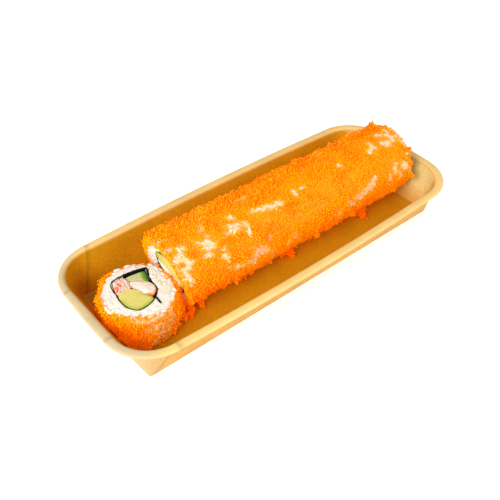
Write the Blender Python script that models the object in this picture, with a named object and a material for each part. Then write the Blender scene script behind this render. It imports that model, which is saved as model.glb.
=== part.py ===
"""An inside-out sushi roll with a slice cut from it, in a shallow tray folded from kraft paper.

Metres, +Z up. The origin is at the bottom centre of the tray, +X runs along the roll, away from
its cut end, and the slice lies flat in front of that end with its cut face up.
"""

import math
import random

import bmesh
import bpy
from mathutils import Vector, noise

MM = 0.001

# Tray
RIM_LENGTH = 216 * MM
RIM_WIDTH = 86 * MM
RIM_CORNER_RADIUS = 24.4 * MM
RIM_HEIGHT = 22.6 * MM
RIM_BAND = 4.7 * MM
RIM_DROP = 1.5 * MM
RIM_EDGE_ROUND = 0.5 * MM
RIM_CREST_INSET = 1.7 * MM
RIM_SHOULDER = 0.9 * MM
RIM_EDGE_HEIGHT = RIM_HEIGHT - 0.6 * RIM_DROP
BASE_LENGTH = 190.6 * MM
BASE_WIDTH = 64.2 * MM
BASE_CORNER_RADIUS = 1.6 * MM
SIDE_BOW = 1.8 * MM
END_BOW = 0.4 * MM
PAPER = 0.8 * MM
TRAY_SIDE_STEPS = 12
TRAY_END_STEPS = 4
TRAY_CORNER_STEPS = 8

# What touches keeps this much air between the solids, and a cutter overshoots what it cuts
GAP = 0.3 * MM
CUT_OVERSHOOT = 6 * MM

# Roll, lying along X
ROLL_NEAR_X = -61.0 * MM
ROLL_FAR_X = 93.6 * MM
ROLL_NEAR_LEAN = 0.17
ROLL_NEAR_RADIUS = 20.3 * MM
ROLL_FAR_RADIUS = 19.6 * MM
ROLL_NEAR_Y = 1.5 * MM
ROLL_FAR_Y = 0.9 * MM
ROLL_SETTLE = 0.5 * MM
ROLL_STATIONS = 58
ROLL_SIDES = 48

# Slice, lying on its lower cut face; it leans to the front as it rises
SLICE_X = -79.4 * MM
SLICE_Y = -0.9 * MM
SLICE_RADIUS = 19.3 * MM
SLICE_TOP = 22.0 * MM
SLICE_BULGE = 0.6 * MM
SLICE_LEAN = 0.02
SLICE_FACE_TILT_X = 0.04
SLICE_FACE_TILT_Y = -0.04
SLICE_STATIONS = 10
SLICE_SIDES = 48

# Roe coat: the heights of its grain and of the roll's soft lumps, and the eggs that stand off it
ROE_RELIEF = 0.42 * MM
LUMP_HEIGHT = 0.75 * MM
LUMP_LENGTH = 17 * MM
SMALL_LUMP_SHARE = 0.4
SMALL_LUMP_LENGTH = 6.5 * MM
EDGE_ROUNDING = 0.9 * MM
ROE_RADIUS = 0.62 * MM
EGG_SPACING = 1.45 * ROE_RADIUS
STRING_SPACING = 1.1 * MM
STRING_ROOT = 0.6 * MM

# The cut section in millimetres, as the slice's face shows it from above: X right, Y up.
# The seaweed's points also give its thickness there, which doubles where the sheet overlaps.
NORI_OUTLINE = (
    (11.2, 10.2, 1.2),
    (5.5, 11.9, 1.4),
    (-2.5, 12.3, 0.8),
    (-7.9, 11.0, 0.6),
    (-9.9, 5.6, 0.6),
    (-10.9, -0.6, 0.6),
    (-10.3, -6.6, 0.6),
    (-6.2, -11.3, 0.6),
    (-0.5, -11.0, 0.6),
    (4.4, -8.8, 0.8),
    (8.5, -4.2, 0.8),
    (8.9, 1.4, 0.7),
    (9.7, 5.9, 1.0),
)
AVOCADO_OUTLINE = (
    (-9.0, 2.3),
    (-9.7, -1.6),
    (-9.1, -5.9),
    (-6.1, -9.9),
    (-0.7, -9.8),
    (3.0, -8.3),
    (2.1, -5.7),
    (0.7, -2.7),
    (-0.8, 0.9),
    (-3.4, 2.9),
    (-6.4, 3.2),
)
CRAB_STICK_OUTLINE = (
    (0.2, 6.9),
    (3.6, 5.2),
    (6.7, 2.0),
    (7.8, -1.8),
    (6.8, -4.6),
    (4.2, -6.3),
    (2.6, -4.8),
    (1.2, -1.9),
    (0.0, 1.5),
    (-1.2, 4.1),
)
CRAB_SHREDS_OUTLINE = (
    (-1.7, 10.9),
    (-4.7, 11.1),
    (-7.4, 9.9),
    (-8.5, 6.6),
    (-9.1, 3.4),
    (-6.1, 3.8),
    (-3.2, 3.6),
    (-1.7, 5.0),
    (-0.7, 7.6),
)
CUCUMBER_OUTLINE = (
    (-0.4, 10.0),
    (3.8, 9.9),
    (7.4, 9.4),
    (9.4, 8.5),
    (8.6, 6.0),
    (7.6, 2.5),
    (4.3, 5.5),
    (0.7, 7.5),
)
OUTLINE_STEPS = 3

# The end of the seaweed sheet that stands out into the rice
NORI_TAIL_START = (4.6, -8.3)
NORI_TAIL_END = (4.0, -13.2)
NORI_TAIL_THICKNESS = 0.6
NORI_TAIL_RECESS = 0.05 * MM

# On the roll the same section is turned half round, wider, and sits towards the top front
ROLL_SECTION_STRETCH = (1.13, 0.96)
ROLL_SECTION_SHIFT = (2.6, 4.2)

# Roe that stands off the coat in short strings of eggs: X, degrees round the roll from its top
# towards the front, and the strings' number and length
SPRIGS_ON_ROLL = (
    (91.5, -37.0, 3, 4),
    (92.0, 49.0, 2, 4),
    (91.5, 92.0, 2, 4),
    (61.0, -45.0, 3, 3),
    (35.0, -45.0, 3, 3),
    (-29.0, -45.0, 3, 3),
)
# Loose roe on the floor, against the foot of the roll: X, and the strings' number and length
CLUMPS_ON_FLOOR = (
    (61.0, 3, 5),
    (7.5, 3, 4),
    (-51.5, 2, 4),
)
CLUMP_START_Y = -9.6 * MM
CLUMP_START_Z = 4.4 * MM
SEED = 1507


def material(name, colour, roughness):
    """A plain material: colour is linear red, green and blue."""
    made = bpy.data.materials.new(name)
    made.use_nodes = True
    shader = made.node_tree.nodes["Principled BSDF"]
    shader.inputs["Base Color"].default_value = (*colour, 1.0)
    shader.inputs["Roughness"].default_value = roughness
    shader.inputs["Metallic"].default_value = 0.0
    return made


def add_object(name, bm, surface, smooth=True):
    """Links the bmesh to the scene as one named object with its own material."""
    bmesh.ops.recalc_face_normals(bm, faces=bm.faces)
    mesh = bpy.data.meshes.new(name)
    bm.to_mesh(mesh)
    bm.free()
    if smooth:
        mesh.shade_smooth()
        mesh.set_sharp_from_angle(angle=math.radians(40))
    mesh.materials.append(surface)
    made = bpy.data.objects.new(name, mesh)
    bpy.context.scene.collection.objects.link(made)
    return made


def grow(bm, ring, points):
    """Extrudes the edge loop through ring to points, one for each vertex, and returns the new ring."""
    edges = [bm.edges.get((ring[i - 1], ring[i])) for i in range(len(ring))]
    grown = bmesh.ops.extrude_edge_only(bm, edges=edges)["geom"]
    fresh = {part for part in grown if isinstance(part, bmesh.types.BMVert)}
    after = []
    for vert, point in zip(ring, points):
        follower = next(edge.other_vert(vert) for edge in vert.link_edges if edge.other_vert(vert) in fresh)
        follower.co = point
        after.append(follower)
    return after


def lofted(loops):
    """A closed skin through loops of equally many points, with a cap on the first and the last."""
    bm = bmesh.new()
    ring = [bm.verts.new(point) for point in loops[0]]
    bm.faces.new(ring)
    for points in loops[1:]:
        ring = grow(bm, ring, points)
    bm.faces.new(ring)
    return bm


def boolean(target, operation, piece=None, collection=None):
    """Applies one exact Boolean to target, and removes what it was made with."""
    step = target.modifiers.new("step", "BOOLEAN")
    step.operation = operation
    step.solver = "EXACT"
    if collection:
        step.operand_type = "COLLECTION"
        step.collection = collection
        tools = list(collection.objects)
    else:
        step.object = piece
        tools = [piece]
    graph = bpy.context.evaluated_depsgraph_get()
    result = bpy.data.meshes.new_from_object(target.evaluated_get(graph), depsgraph=graph)
    target.modifiers.remove(step)
    result.name = target.data.name
    target.data = result
    for used in tools:
        bpy.data.objects.remove(used)
    if collection:
        bpy.data.collections.remove(collection)


def tray_loop(length, width, radius, side_bow, end_bow, height):
    """One outline of the tray: bowed sides joined by round corners, anticlockwise from the front left."""
    half_x, half_y = length / 2 - radius, width / 2 - radius
    points = []
    for turn, steps, straight, reach, bow in (
        (0, TRAY_SIDE_STEPS, half_x, width / 2, side_bow),
        (1, TRAY_END_STEPS, half_y, length / 2, end_bow),
        (2, TRAY_SIDE_STEPS, half_x, width / 2, side_bow),
        (3, TRAY_END_STEPS, half_y, length / 2, end_bow),
    ):
        along = Vector((math.cos(turn * math.pi / 2), math.sin(turn * math.pi / 2), 0))
        outward = Vector((along.y, -along.x, 0))
        for step in range(steps):
            place = 2 * step / steps - 1
            points.append(along * straight * place + outward * (reach + bow * (1 - place**2)))
        corner = along * straight + outward * (reach - radius)
        for step in range(TRAY_CORNER_STEPS):
            angle = step / TRAY_CORNER_STEPS * math.pi / 2
            points.append(corner + radius * (outward * math.cos(angle) + along * math.sin(angle)))
    for point in points:
        point.z = height
    return points


def rim_loop(inset, height):
    """The rim's outline, moved inwards by inset."""
    return tray_loop(
        RIM_LENGTH - 2 * inset, RIM_WIDTH - 2 * inset, RIM_CORNER_RADIUS - inset, SIDE_BOW, END_BOW, height
    )


def base_loop(inset, height):
    """The base's outline, nearly sharp at its corners."""
    return tray_loop(
        BASE_LENGTH - 2 * inset, BASE_WIDTH - 2 * inset, BASE_CORNER_RADIUS, 0.0, 0.0, height
    )


def make_tray():
    """The folded tray: flat base, slanted walls with conical corners, and a rolled rim."""
    loops = [
        base_loop(0.0, 0.0),
        rim_loop(RIM_BAND - PAPER, RIM_HEIGHT - RIM_DROP - PAPER / 2),
        rim_loop(RIM_EDGE_ROUND, RIM_HEIGHT - RIM_DROP),
        rim_loop(0.0, RIM_EDGE_HEIGHT),
        rim_loop(RIM_EDGE_ROUND, RIM_HEIGHT - 0.2 * RIM_DROP),
        rim_loop(RIM_CREST_INSET, RIM_HEIGHT),
        rim_loop(RIM_BAND - RIM_SHOULDER, RIM_HEIGHT - 0.1 * RIM_DROP),
        rim_loop(RIM_BAND, RIM_EDGE_HEIGHT),
        base_loop(PAPER, PAPER),
    ]
    return add_object("tray", lofted(loops), material("kraft_paper", (0.72, 0.42, 0.12), 0.55))


def wall_x(height):
    """Where the tray's near end wall stands at this height, on its inner side."""
    share = (height - PAPER) / (RIM_EDGE_HEIGHT - PAPER)
    foot = BASE_LENGTH / 2 - PAPER
    return -(foot + share * (RIM_LENGTH / 2 - RIM_BAND - foot))


def roll_axis(x):
    """The roll's centre and radius at x: it rests on the floor, and tapers a little."""
    share = (x - ROLL_NEAR_X) / (ROLL_FAR_X - ROLL_NEAR_X)
    radius = ROLL_NEAR_RADIUS + share * (ROLL_FAR_RADIUS - ROLL_NEAR_RADIUS)
    rest = PAPER + GAP - ROLL_SETTLE
    return ROLL_NEAR_Y + share * (ROLL_FAR_Y - ROLL_NEAR_Y), rest + radius, radius


def near_cut_x(height):
    """The roll's near cut leans over the slice: its x at this height."""
    return ROLL_NEAR_X - ROLL_NEAR_LEAN * (height - roll_axis(ROLL_NEAR_X)[1])


def lumps(point):
    """The soft unevenness of the rice under the roe, about from -1 to 1."""
    return noise.noise(point / LUMP_LENGTH) + SMALL_LUMP_SHARE * noise.noise(point / SMALL_LUMP_LENGTH)


def coat(draw, point):
    """How far the roe coat stands out at a point: soft lumps, and its own grain."""
    return LUMP_HEIGHT * lumps(point) + ROE_RELIEF * draw.uniform(-1.0, 1.0)


def roll_skin():
    """The roll's outline loops from its near cut to its far cut, with the coat's relief."""
    draw = random.Random(SEED)
    loops = []
    for station in range(ROLL_STATIONS + 1):
        share = station / ROLL_STATIONS
        last = station in (0, ROLL_STATIONS)
        points = []
        for side in range(ROLL_SIDES):
            angle = 2 * math.pi * side / ROLL_SIDES
            x = ROLL_NEAR_X + share * (ROLL_FAR_X - ROLL_NEAR_X)
            centre_y, centre_z, radius = roll_axis(x)
            out = Vector((0, math.sin(angle), math.cos(angle)))
            spot = Vector((x, centre_y, centre_z)) + out * radius
            radius += coat(draw, spot) - (EDGE_ROUNDING if last else 0.0)
            place = Vector((x, centre_y, centre_z)) + out * radius
            place.z = max(place.z, PAPER + GAP)
            place.x = near_cut_x(place.z) + share * (ROLL_FAR_X - near_cut_x(place.z))
            points.append(place)
        loops.append(points)
    return loops


def slice_centre(height):
    """The slice's middle at this height."""
    return SLICE_X, SLICE_Y - SLICE_LEAN * height


def face_drop(x, y):
    """How far the slice's cut face, which tilts slightly, lies below its height in the middle."""
    return SLICE_FACE_TILT_X * (x - SLICE_X) + SLICE_FACE_TILT_Y * (y - SLICE_Y)


def slice_skin():
    """The slice's outline loops from the floor to its cut face, pressed to the wall and the roll."""
    draw = random.Random(SEED + 1)
    bottom = PAPER + GAP
    loops = []
    for station in range(SLICE_STATIONS + 1):
        share = station / SLICE_STATIONS
        last = station in (0, SLICE_STATIONS)
        points = []
        for side in range(SLICE_SIDES):
            angle = 2 * math.pi * side / SLICE_SIDES
            height = bottom + share * (SLICE_TOP - bottom)
            centre_x, centre_y = slice_centre(height)
            out = Vector((math.cos(angle), math.sin(angle), 0))
            spot = Vector((centre_x, centre_y, height)) + out * SLICE_RADIUS
            radius = SLICE_RADIUS + SLICE_BULGE * math.sin(math.pi * share)
            radius += coat(draw, spot) - (EDGE_ROUNDING if last else 0.0)
            place = Vector((centre_x, centre_y, height)) + out * radius
            place.z -= share * face_drop(place.x, place.y)
            place.x = max(place.x, wall_x(place.z) + GAP + ROE_RELIEF)
            place.x = min(place.x, near_cut_x(place.z) - GAP - ROE_RELIEF)
            points.append(place)
        loops.append(points)
    return loops


def smooth_outline(corners):
    """A closed curve through the corners, read at OUTLINE_STEPS points for each."""
    points = []
    count = len(corners)
    for index in range(count):
        before, start, end, after = (Vector(corners[(index + shift) % count]) for shift in (-1, 0, 1, 2))
        for step in range(OUTLINE_STEPS):
            t = step / OUTLINE_STEPS
            ease_in = (end - before) / 2
            ease_out = (after - start) / 2
            points.append(
                start * (2 * t**3 - 3 * t**2 + 1)
                + ease_in * (t**3 - 2 * t**2 + t)
                + end * (3 * t**2 - 2 * t**3)
                + ease_out * (t**3 - t**2)
            )
    return points


def offset_outline(points, distances):
    """The anticlockwise outline moved outwards by a distance for each point."""
    moved = []
    count = len(points)
    for index, distance in enumerate(distances):
        along = (points[(index + 1) % count] - points[index - 1]).normalized()
        moved.append(points[index] + Vector((along.y, -along.x)) * distance)
    return moved


def nori_lines():
    """The seaweed's outer line, and its inner one at the thickness that each point names."""
    line = smooth_outline(NORI_OUTLINE)
    outer = [point.xy for point in line]
    return outer, offset_outline(outer, [-point.z for point in line])


def on_slice(point, height):
    """A point of the section, in millimetres, on the slice at this height."""
    centre_x, centre_y = slice_centre(height)
    return Vector((centre_x + point.x * MM, centre_y + point.y * MM, height))


def slice_prism(points):
    """The section's outline carried from the slice's lower cut to its face."""
    low = [on_slice(point, PAPER + GAP) for point in points]
    high = [on_slice(point, SLICE_TOP) for point in points]
    for place in high:
        place.z -= face_drop(place.x, place.y)
    return [low, high]


def on_roll(point, x):
    """A point of the section, in millimetres, on the roll at x."""
    centre_y, centre_z, _ = roll_axis(x)
    right = ROLL_SECTION_SHIFT[0] - ROLL_SECTION_STRETCH[0] * point.x
    up = ROLL_SECTION_SHIFT[1] - ROLL_SECTION_STRETCH[1] * point.y
    return Vector((x, centre_y - right * MM, centre_z + up * MM))


def roll_prism(points):
    """The section's outline carried from the roll's leaning cut to its far one."""
    near = [on_roll(point, ROLL_NEAR_X) for point in points]
    for place in near:
        place.x = near_cut_x(place.z)
    return [near, [on_roll(point, ROLL_FAR_X) for point in points]]


def lengthened(loops, extra):
    """The same prism made longer by extra at both ends."""
    pairs = list(zip(*loops))
    return [
        [low - (high - low).normalized() * extra for low, high in pairs],
        [high + (high - low).normalized() * extra for low, high in pairs],
    ]


def tool(loops, extra, surface):
    """A hidden prism that a Boolean uses, made longer by extra at both ends."""
    made = add_object("tool", lofted(lengthened(loops, extra)), surface, False)
    made.hide_render = True
    made.display_type = "WIRE"
    return made


def make_rice(name, skin, prism, rice, has_tail):
    """A tube of rice in its roe coat, with the hole that the seaweed and its fillings run through."""
    made = add_object(name, lofted(skin), rice)
    outer, _ = nori_lines()
    hole = offset_outline(outer, [GAP / MM] * len(outer))
    boolean(made, "DIFFERENCE", tool(prism(hole), CUT_OVERSHOOT, rice))
    if has_tail:
        boolean(made, "DIFFERENCE", tool(prism(nori_tail(GAP / MM)), CUT_OVERSHOOT, rice))
    return made


def nori_tail(spare):
    """The strip of seaweed that stands out into the rice, grown by spare on each side."""
    start, end = Vector(NORI_TAIL_START), Vector(NORI_TAIL_END)
    along = (end - start).normalized()
    across = Vector((along.y, -along.x)) * (NORI_TAIL_THICKNESS / 2 + spare)
    start, end = start - along * spare, end + along * spare
    return [start - across, start + across, end + across, end - across]


def make_nori(name, prism, nori, has_tail):
    """The seaweed sheet as a tube: its outer prism less its inner one, and the end that stands out."""
    outer, inner = nori_lines()
    made = add_object(name, lofted(prism(outer)), nori)
    boolean(made, "DIFFERENCE", tool(prism(inner), CUT_OVERSHOOT, nori))
    if has_tail:
        boolean(made, "UNION", tool(prism(nori_tail(0.0)), -NORI_TAIL_RECESS, nori))


def make_filling(name, outline, prism, surface):
    """One filling that runs through the rice from cut to cut."""
    corners = [(*corner, 0.0) for corner in outline]
    points = [point.xy for point in smooth_outline(corners)]
    return add_object(name, lofted(prism(points)), surface)


def add_egg(collection, draw, place, surface):
    """One egg of roe as a hidden ball for the union, with few sides."""
    bm = bmesh.new()
    bmesh.ops.create_icosphere(bm, subdivisions=1, radius=ROE_RADIUS * draw.uniform(0.9, 1.1))
    bmesh.ops.translate(bm, verts=bm.verts, vec=place)
    made = add_object("egg", bm, surface, False)
    bpy.context.scene.collection.objects.unlink(made)
    collection.objects.link(made)


def add_string(collection, draw, start, direction, count, surface):
    """A short string of eggs, each overlapping the one before, kept just clear of the tray's floor."""
    place = Vector(start)
    lowest = PAPER + GAP + 1.1 * ROE_RADIUS
    for _ in range(count):
        place.z = max(place.z, lowest)
        add_egg(collection, draw, place, surface)
        stray = Vector(draw.uniform(-0.5, 0.5) for _ in range(3))
        place = place + (Vector(direction) + stray).normalized() * EGG_SPACING


def fuse_roe(roll, surface):
    """Fuses the sprigs and the clumps of roe that stand off the roll to its coat."""
    draw = random.Random(SEED + 2)
    eggs = bpy.data.collections.new("eggs")
    bpy.context.scene.collection.children.link(eggs)
    for x_mm, degrees, strings, length in SPRIGS_ON_ROLL:
        angle = math.radians(degrees)
        out = Vector((0.0, -math.sin(angle), math.cos(angle)))
        for index in range(strings):
            x = x_mm * MM + STRING_SPACING * (index - (strings - 1) / 2)
            centre_y, centre_z, radius = roll_axis(x)
            start = Vector((x, centre_y, centre_z)) + out * (radius - STRING_ROOT)
            add_string(eggs, draw, start, out, length, surface)
    for x_mm, strings, length in CLUMPS_ON_FLOOR:
        for index in range(strings):
            spread = index - (strings - 1) / 2
            start = (x_mm * MM + STRING_SPACING * spread, CLUMP_START_Y, CLUMP_START_Z)
            add_string(eggs, draw, start, (0.4 * spread, -1.0, -0.6), length, surface)
    boolean(roll, "UNION", collection=eggs)


def main():
    for old in list(bpy.data.objects):
        bpy.data.objects.remove(old)
    roe = material("roe_coat", (0.95, 0.30, 0.01), 0.35)
    slice_roe = material("slice_roe_coat", (0.95, 0.27, 0.01), 0.35)
    make_tray()
    roll = make_rice("roll_rice", roll_skin(), roll_prism, roe, has_tail=False)
    fuse_roe(roll, roe)
    make_rice("slice_rice", slice_skin(), slice_prism, slice_roe, has_tail=True)
    for part, prism in (("roll", roll_prism), ("slice", slice_prism)):
        nori = material(part + "_nori", (0.012, 0.014, 0.008), 0.4)
        make_nori(part + "_nori", prism, nori, has_tail=part == "slice")
        for filling, outline, colour, roughness in (
            ("avocado", AVOCADO_OUTLINE, (0.78, 0.72, 0.20), 0.45),
            ("crab_stick", CRAB_STICK_OUTLINE, (0.90, 0.78, 0.62), 0.45),
            ("crab_shreds", CRAB_SHREDS_OUTLINE, (0.88, 0.45, 0.30), 0.5),
            ("cucumber", CUCUMBER_OUTLINE, (0.55, 0.72, 0.32), 0.35),
        ):
            name = part + "_" + filling
            make_filling(name, outline, prism, material(name, colour, roughness))


main()
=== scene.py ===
"""The looks of a california roll in its kraft paper tray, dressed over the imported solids.

Metres, +Z up, in the frame of the solids: the origin is at the bottom centre of the tray and +X
runs along the roll, away from its cut end. Sections of the roll are given in millimetres as the
slice's face shows them from above, X right and Y up. Angles are measured in degrees, round the
roll from its top towards the front and round the slice from +X towards +Y.
"""
import logging
import math
import random
from collections.abc import Callable, Sequence
from dataclasses import dataclass, field
from enum import Enum

import bmesh
import bpy
import numpy as np
from mathutils import Matrix, Vector, noise
from mathutils.bvhtree import BVHTree


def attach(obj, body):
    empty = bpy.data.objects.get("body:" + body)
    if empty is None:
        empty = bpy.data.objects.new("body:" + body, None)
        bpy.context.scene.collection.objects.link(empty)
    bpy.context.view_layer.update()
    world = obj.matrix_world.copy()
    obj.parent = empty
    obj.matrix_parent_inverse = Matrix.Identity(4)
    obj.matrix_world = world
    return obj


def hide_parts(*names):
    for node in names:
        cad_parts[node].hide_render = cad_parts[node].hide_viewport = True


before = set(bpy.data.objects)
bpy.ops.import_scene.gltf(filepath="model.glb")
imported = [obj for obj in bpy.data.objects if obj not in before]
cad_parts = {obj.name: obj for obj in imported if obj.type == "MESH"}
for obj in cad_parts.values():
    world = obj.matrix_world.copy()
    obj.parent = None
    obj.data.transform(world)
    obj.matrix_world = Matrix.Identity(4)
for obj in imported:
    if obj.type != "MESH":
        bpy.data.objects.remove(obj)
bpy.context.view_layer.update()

BODY = "root"
MM = 0.001
MERGE = 1e-6
PATCH_REACH = 1.6
LOG = logging.getLogger("california_roll")
Colour = tuple[float, float, float]
Ring = list[Vector]
WHITE: Colour = (1.0, 1.0, 1.0)
SIDE = Vector((1, 0, 0))
BACK = Vector((0, 1, 0))
UP = Vector((0, 0, 1))


class Wire:
    """An output socket of a shader tree that takes part in ordinary arithmetic."""

    def __init__(self, tree: "ShaderTree", socket: bpy.types.NodeSocket) -> None:
        """Keeps the tree that the socket belongs to."""
        self.tree = tree
        self.socket = socket

    def maths(self, operation: str, *values: "Value") -> "Wire":
        """One Math node on these values, in their order."""
        return self.tree.node("ShaderNodeMath", {"operation": operation}, dict(enumerate(values)))

    def __add__(self, other: "Value") -> "Wire":
        """Sum."""
        return self.maths("ADD", self, other)

    def __mul__(self, other: "Value") -> "Wire":
        """Product."""
        return self.maths("MULTIPLY", self, other)

    def __sub__(self, other: "Value") -> "Wire":
        """Difference."""
        return self.maths("SUBTRACT", self, other)

    def __rsub__(self, other: "Value") -> "Wire":
        """Difference with the wire on the right."""
        return self.maths("SUBTRACT", other, self)

    __radd__ = __add__
    __rmul__ = __mul__

    def step(self, low: float, high: float) -> "Wire":
        """A smooth rise from 0 at low to 1 at high."""
        sockets = {0: self, 1: low, 2: high, 3: 0.0, 4: 1.0}
        return self.tree.node("ShaderNodeMapRange", {"interpolation_type": "SMOOTHSTEP"}, sockets)


Value = Wire | float | Sequence[float]


class ShaderTree:
    """The node tree of one new material."""

    def __init__(self, name: str) -> None:
        """Makes the material with its Principled shader and its output.

        Args:
            name: The material's name.
        """
        self.material = bpy.data.materials.new(name)
        self.material.use_nodes = True
        self.nodes = self.material.node_tree.nodes
        self.shader = self.nodes["Principled BSDF"]

    def node(self, kind: str, settings: dict, sockets: dict, outlet: int | str = 0) -> Wire:
        """Adds one node.

        Args:
            kind: The node's type.
            settings: Its properties, set first; "stops" are a ramp's positions and colours.
            sockets: Its inputs by name, identifier or number, as values or wires.
            outlet: The output that is wanted.

        Returns:
            The wire from that output.
        """
        made = self.nodes.new(kind)
        for key, value in settings.items():
            if key == "stops":
                self.set_stops(made.color_ramp, value)
            else:
                setattr(made, key, value)
        by_identifier = {socket.identifier: socket for socket in made.inputs}
        for key, value in sockets.items():
            self.feed(by_identifier.get(key) or made.inputs[key], value)
        outlets = {socket.identifier: socket for socket in made.outputs}
        return Wire(self, outlets.get(outlet) or made.outputs[outlet])

    def feed(self, socket: bpy.types.NodeSocket, value: Value) -> None:
        """Links a wire to the socket, or sets it.

        Args:
            socket: The input.
            value: A wire, a number, or a colour or vector.
        """
        if isinstance(value, Wire):
            self.material.node_tree.links.new(value.socket, socket)
        elif socket.type == "RGBA":
            socket.default_value = (*value, 1.0)
        else:
            socket.default_value = value

    @staticmethod
    def set_stops(ramp: bpy.types.ColorRamp, stops: Sequence[tuple[float, Colour]]) -> None:
        """Gives a colour ramp its stops.

        Args:
            ramp: The ramp.
            stops: The positions from 0 to 1, with their colours.
        """
        while len(ramp.elements) < len(stops):
            ramp.elements.new(0.5)
        for element, (place, colour) in zip(ramp.elements, stops):
            element.position = place
            element.color = (*colour, 1.0)

    def place(self) -> Wire:
        """The point's Object coordinates."""
        return self.node("ShaderNodeTexCoord", {}, {}, "Object")

    def height(self) -> Wire:
        """The point's height, in metres."""
        return self.node("ShaderNodeSeparateXYZ", {}, {0: self.place()}, 2)

    def attribute(self, name: str) -> Wire:
        """A number that the mesh carries at each point."""
        return self.node("ShaderNodeAttribute", {"attribute_name": name}, {}, "Fac")

    def noise(self, size: float, detail: float = 2.0, stretch: Sequence[float] = WHITE) -> Wire:
        """Soft noise from 0 to 1.

        Args:
            size: The length of its waves, in metres.
            detail: How many finer layers it has.
            stretch: How many times the waves repeat along each axis.

        Returns:
            The noise's factor.
        """
        place = self.node("ShaderNodeMapping", {}, {"Vector": self.place(), "Scale": stretch})
        sockets = {"Vector": place, "Scale": 1 / size, "Detail": detail}
        return self.node("ShaderNodeTexNoise", {}, sockets, "Fac")

    def mix(self, share: Value, first: Value, second: Value) -> Wire:
        """The colour that lies this share of the way from the first to the second."""
        sockets = {"Factor_Float": share, "A_Color": first, "B_Color": second}
        return self.node("ShaderNodeMix", {"data_type": "RGBA"}, sockets, "Result_Color")

    def scaled(self, colour: Value, factor: Value) -> Wire:
        """The colour times this factor."""
        return self.node("ShaderNodeVectorMath", {"operation": "SCALE"}, {0: colour, "Scale": factor})

    def ramp(self, share: Value, stops: Sequence[tuple[float, Colour]]) -> Wire:
        """The colour at this share of a ramp."""
        return self.node("ShaderNodeValToRGB", {"stops": stops}, {0: share}, "Color")

    def bump(self, height: Wire, depth: float) -> Wire:
        """The normal that a height from 0 to 1 gives over this depth, in metres."""
        return self.node("ShaderNodeBump", {}, {"Height": height, "Distance": depth, "Strength": 1.0})

    def shade(self, **sockets: Value) -> None:
        """Sets or links the Principled shader's inputs, named with underscores for spaces."""
        for key, value in sockets.items():
            self.feed(self.shader.inputs[key.replace("_", " ")], value)

    def moisten(self, weight: float, radius: Colour, depth: float) -> None:
        """Lets light into the surface: how much, how far for each colour, and the depth in metres."""
        self.shade(Subsurface_Weight=weight, Subsurface_Radius=radius, Subsurface_Scale=depth)


@dataclass(frozen=True)
class Finish:
    """A surface finish, with the slot that it stands for."""

    slot: str = ""

    def paint(self, tree: ShaderTree) -> None:
        """Builds the nodes."""
        raise NotImplementedError

    def dress(self, piece: bpy.types.Object) -> None:
        """Gives the piece this finish.

        Args:
            piece: The piece.
        """
        tree = ShaderTree(piece.name + "_finish")
        self.paint(tree)
        piece.data.materials.clear()
        piece.data.materials.append(tree.material)


@dataclass(frozen=True)
class KraftPaper(Finish):
    """Brown paperboard with fine fibres. Its colours hold painted shade, darker and more saturated inside
    the tray, and painted light, paler on the rolled rim and at the tray's ends where they face the key lamp.
    """

    slot: str = "kraft_paper"
    # painted shade: the inner colour is darker and more saturated than the outer one, standing in for shade
    # and orange bounce light inside the tray
    inner: Colour = (0.565, 0.262, 0.004)
    outer: Colour = (0.58, 0.31, 0.07)
    # painted light: the rim colour is paler, standing in for light and sheen on the rolled rim
    rim: Colour = (0.71, 0.48, 0.17)
    # painted light: paler paper where the tray's ends face the key lamp, outside at the left end and inside
    # at the right end
    painted_light: Colour = (0.48, 0.385, 0.25)
    painted_light_inner: Colour = (0.69, 0.54, 0.20)
    crease: Colour = (0.86, 0.56, 0.14)
    fibre_length: float = 0.9 * MM
    cloud_length: float = 14 * MM
    speck_length: float = 0.5 * MM
    pit_length: float = 0.35 * MM
    relief: float = 0.05 * MM
    roughness: float = 0.52

    def paint(self, tree: ShaderTree) -> None:
        """Mixes the paper's colours by place, with painted shade inside and painted light on the rim and at
        the ends, then darkens and lightens them with fibres, clouds, specks and painted shading.

        Args:
            tree: The material's tree.
        """
        fibres = tree.noise(self.fibre_length, 4.0, (0.8, 1.0, 1.0))
        clouds = tree.noise(self.cloud_length)
        specks = tree.noise(self.speck_length, 1.0).step(0.62, 0.74)
        inside, rim = tree.attribute("inside"), tree.attribute("rim")
        # painted shade inside the tray and painted light on the rolled rim, mixed by the inside and rim
        # attributes
        paper = tree.mix(inside, self.outer, self.inner)
        paper = tree.mix(rim, paper, self.rim)
        # painted light: paler paper at the tray's ends, where they face the key lamp
        painted_light = tree.mix(inside, self.painted_light, self.painted_light_inner)
        paper = tree.mix(tree.attribute("painted_light_share"), paper, painted_light)
        paper = tree.mix(tree.attribute("crease") * 0.5, paper, self.crease)
        grain = (fibres - 0.5) * (0.75 - rim * 0.45)
        # painted shading: the shading attribute paints shade into the left corners' folds and round the
        # rim's outer edge, and a highlight along the rim's top
        shade = 1.0 + grain + (clouds - 0.5) * 0.3 - specks * 0.10 - tree.attribute("painted_shading") * 0.30
        tree.shade(Base_Color=tree.scaled(paper, shade))
        tree.shade(Roughness=self.roughness + (fibres - 0.5) * 0.2, Specular_IOR_Level=0.08)
        tree.shade(Normal=tree.bump(fibres * 0.6 + tree.noise(self.pit_length) * 0.4, self.relief))


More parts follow.
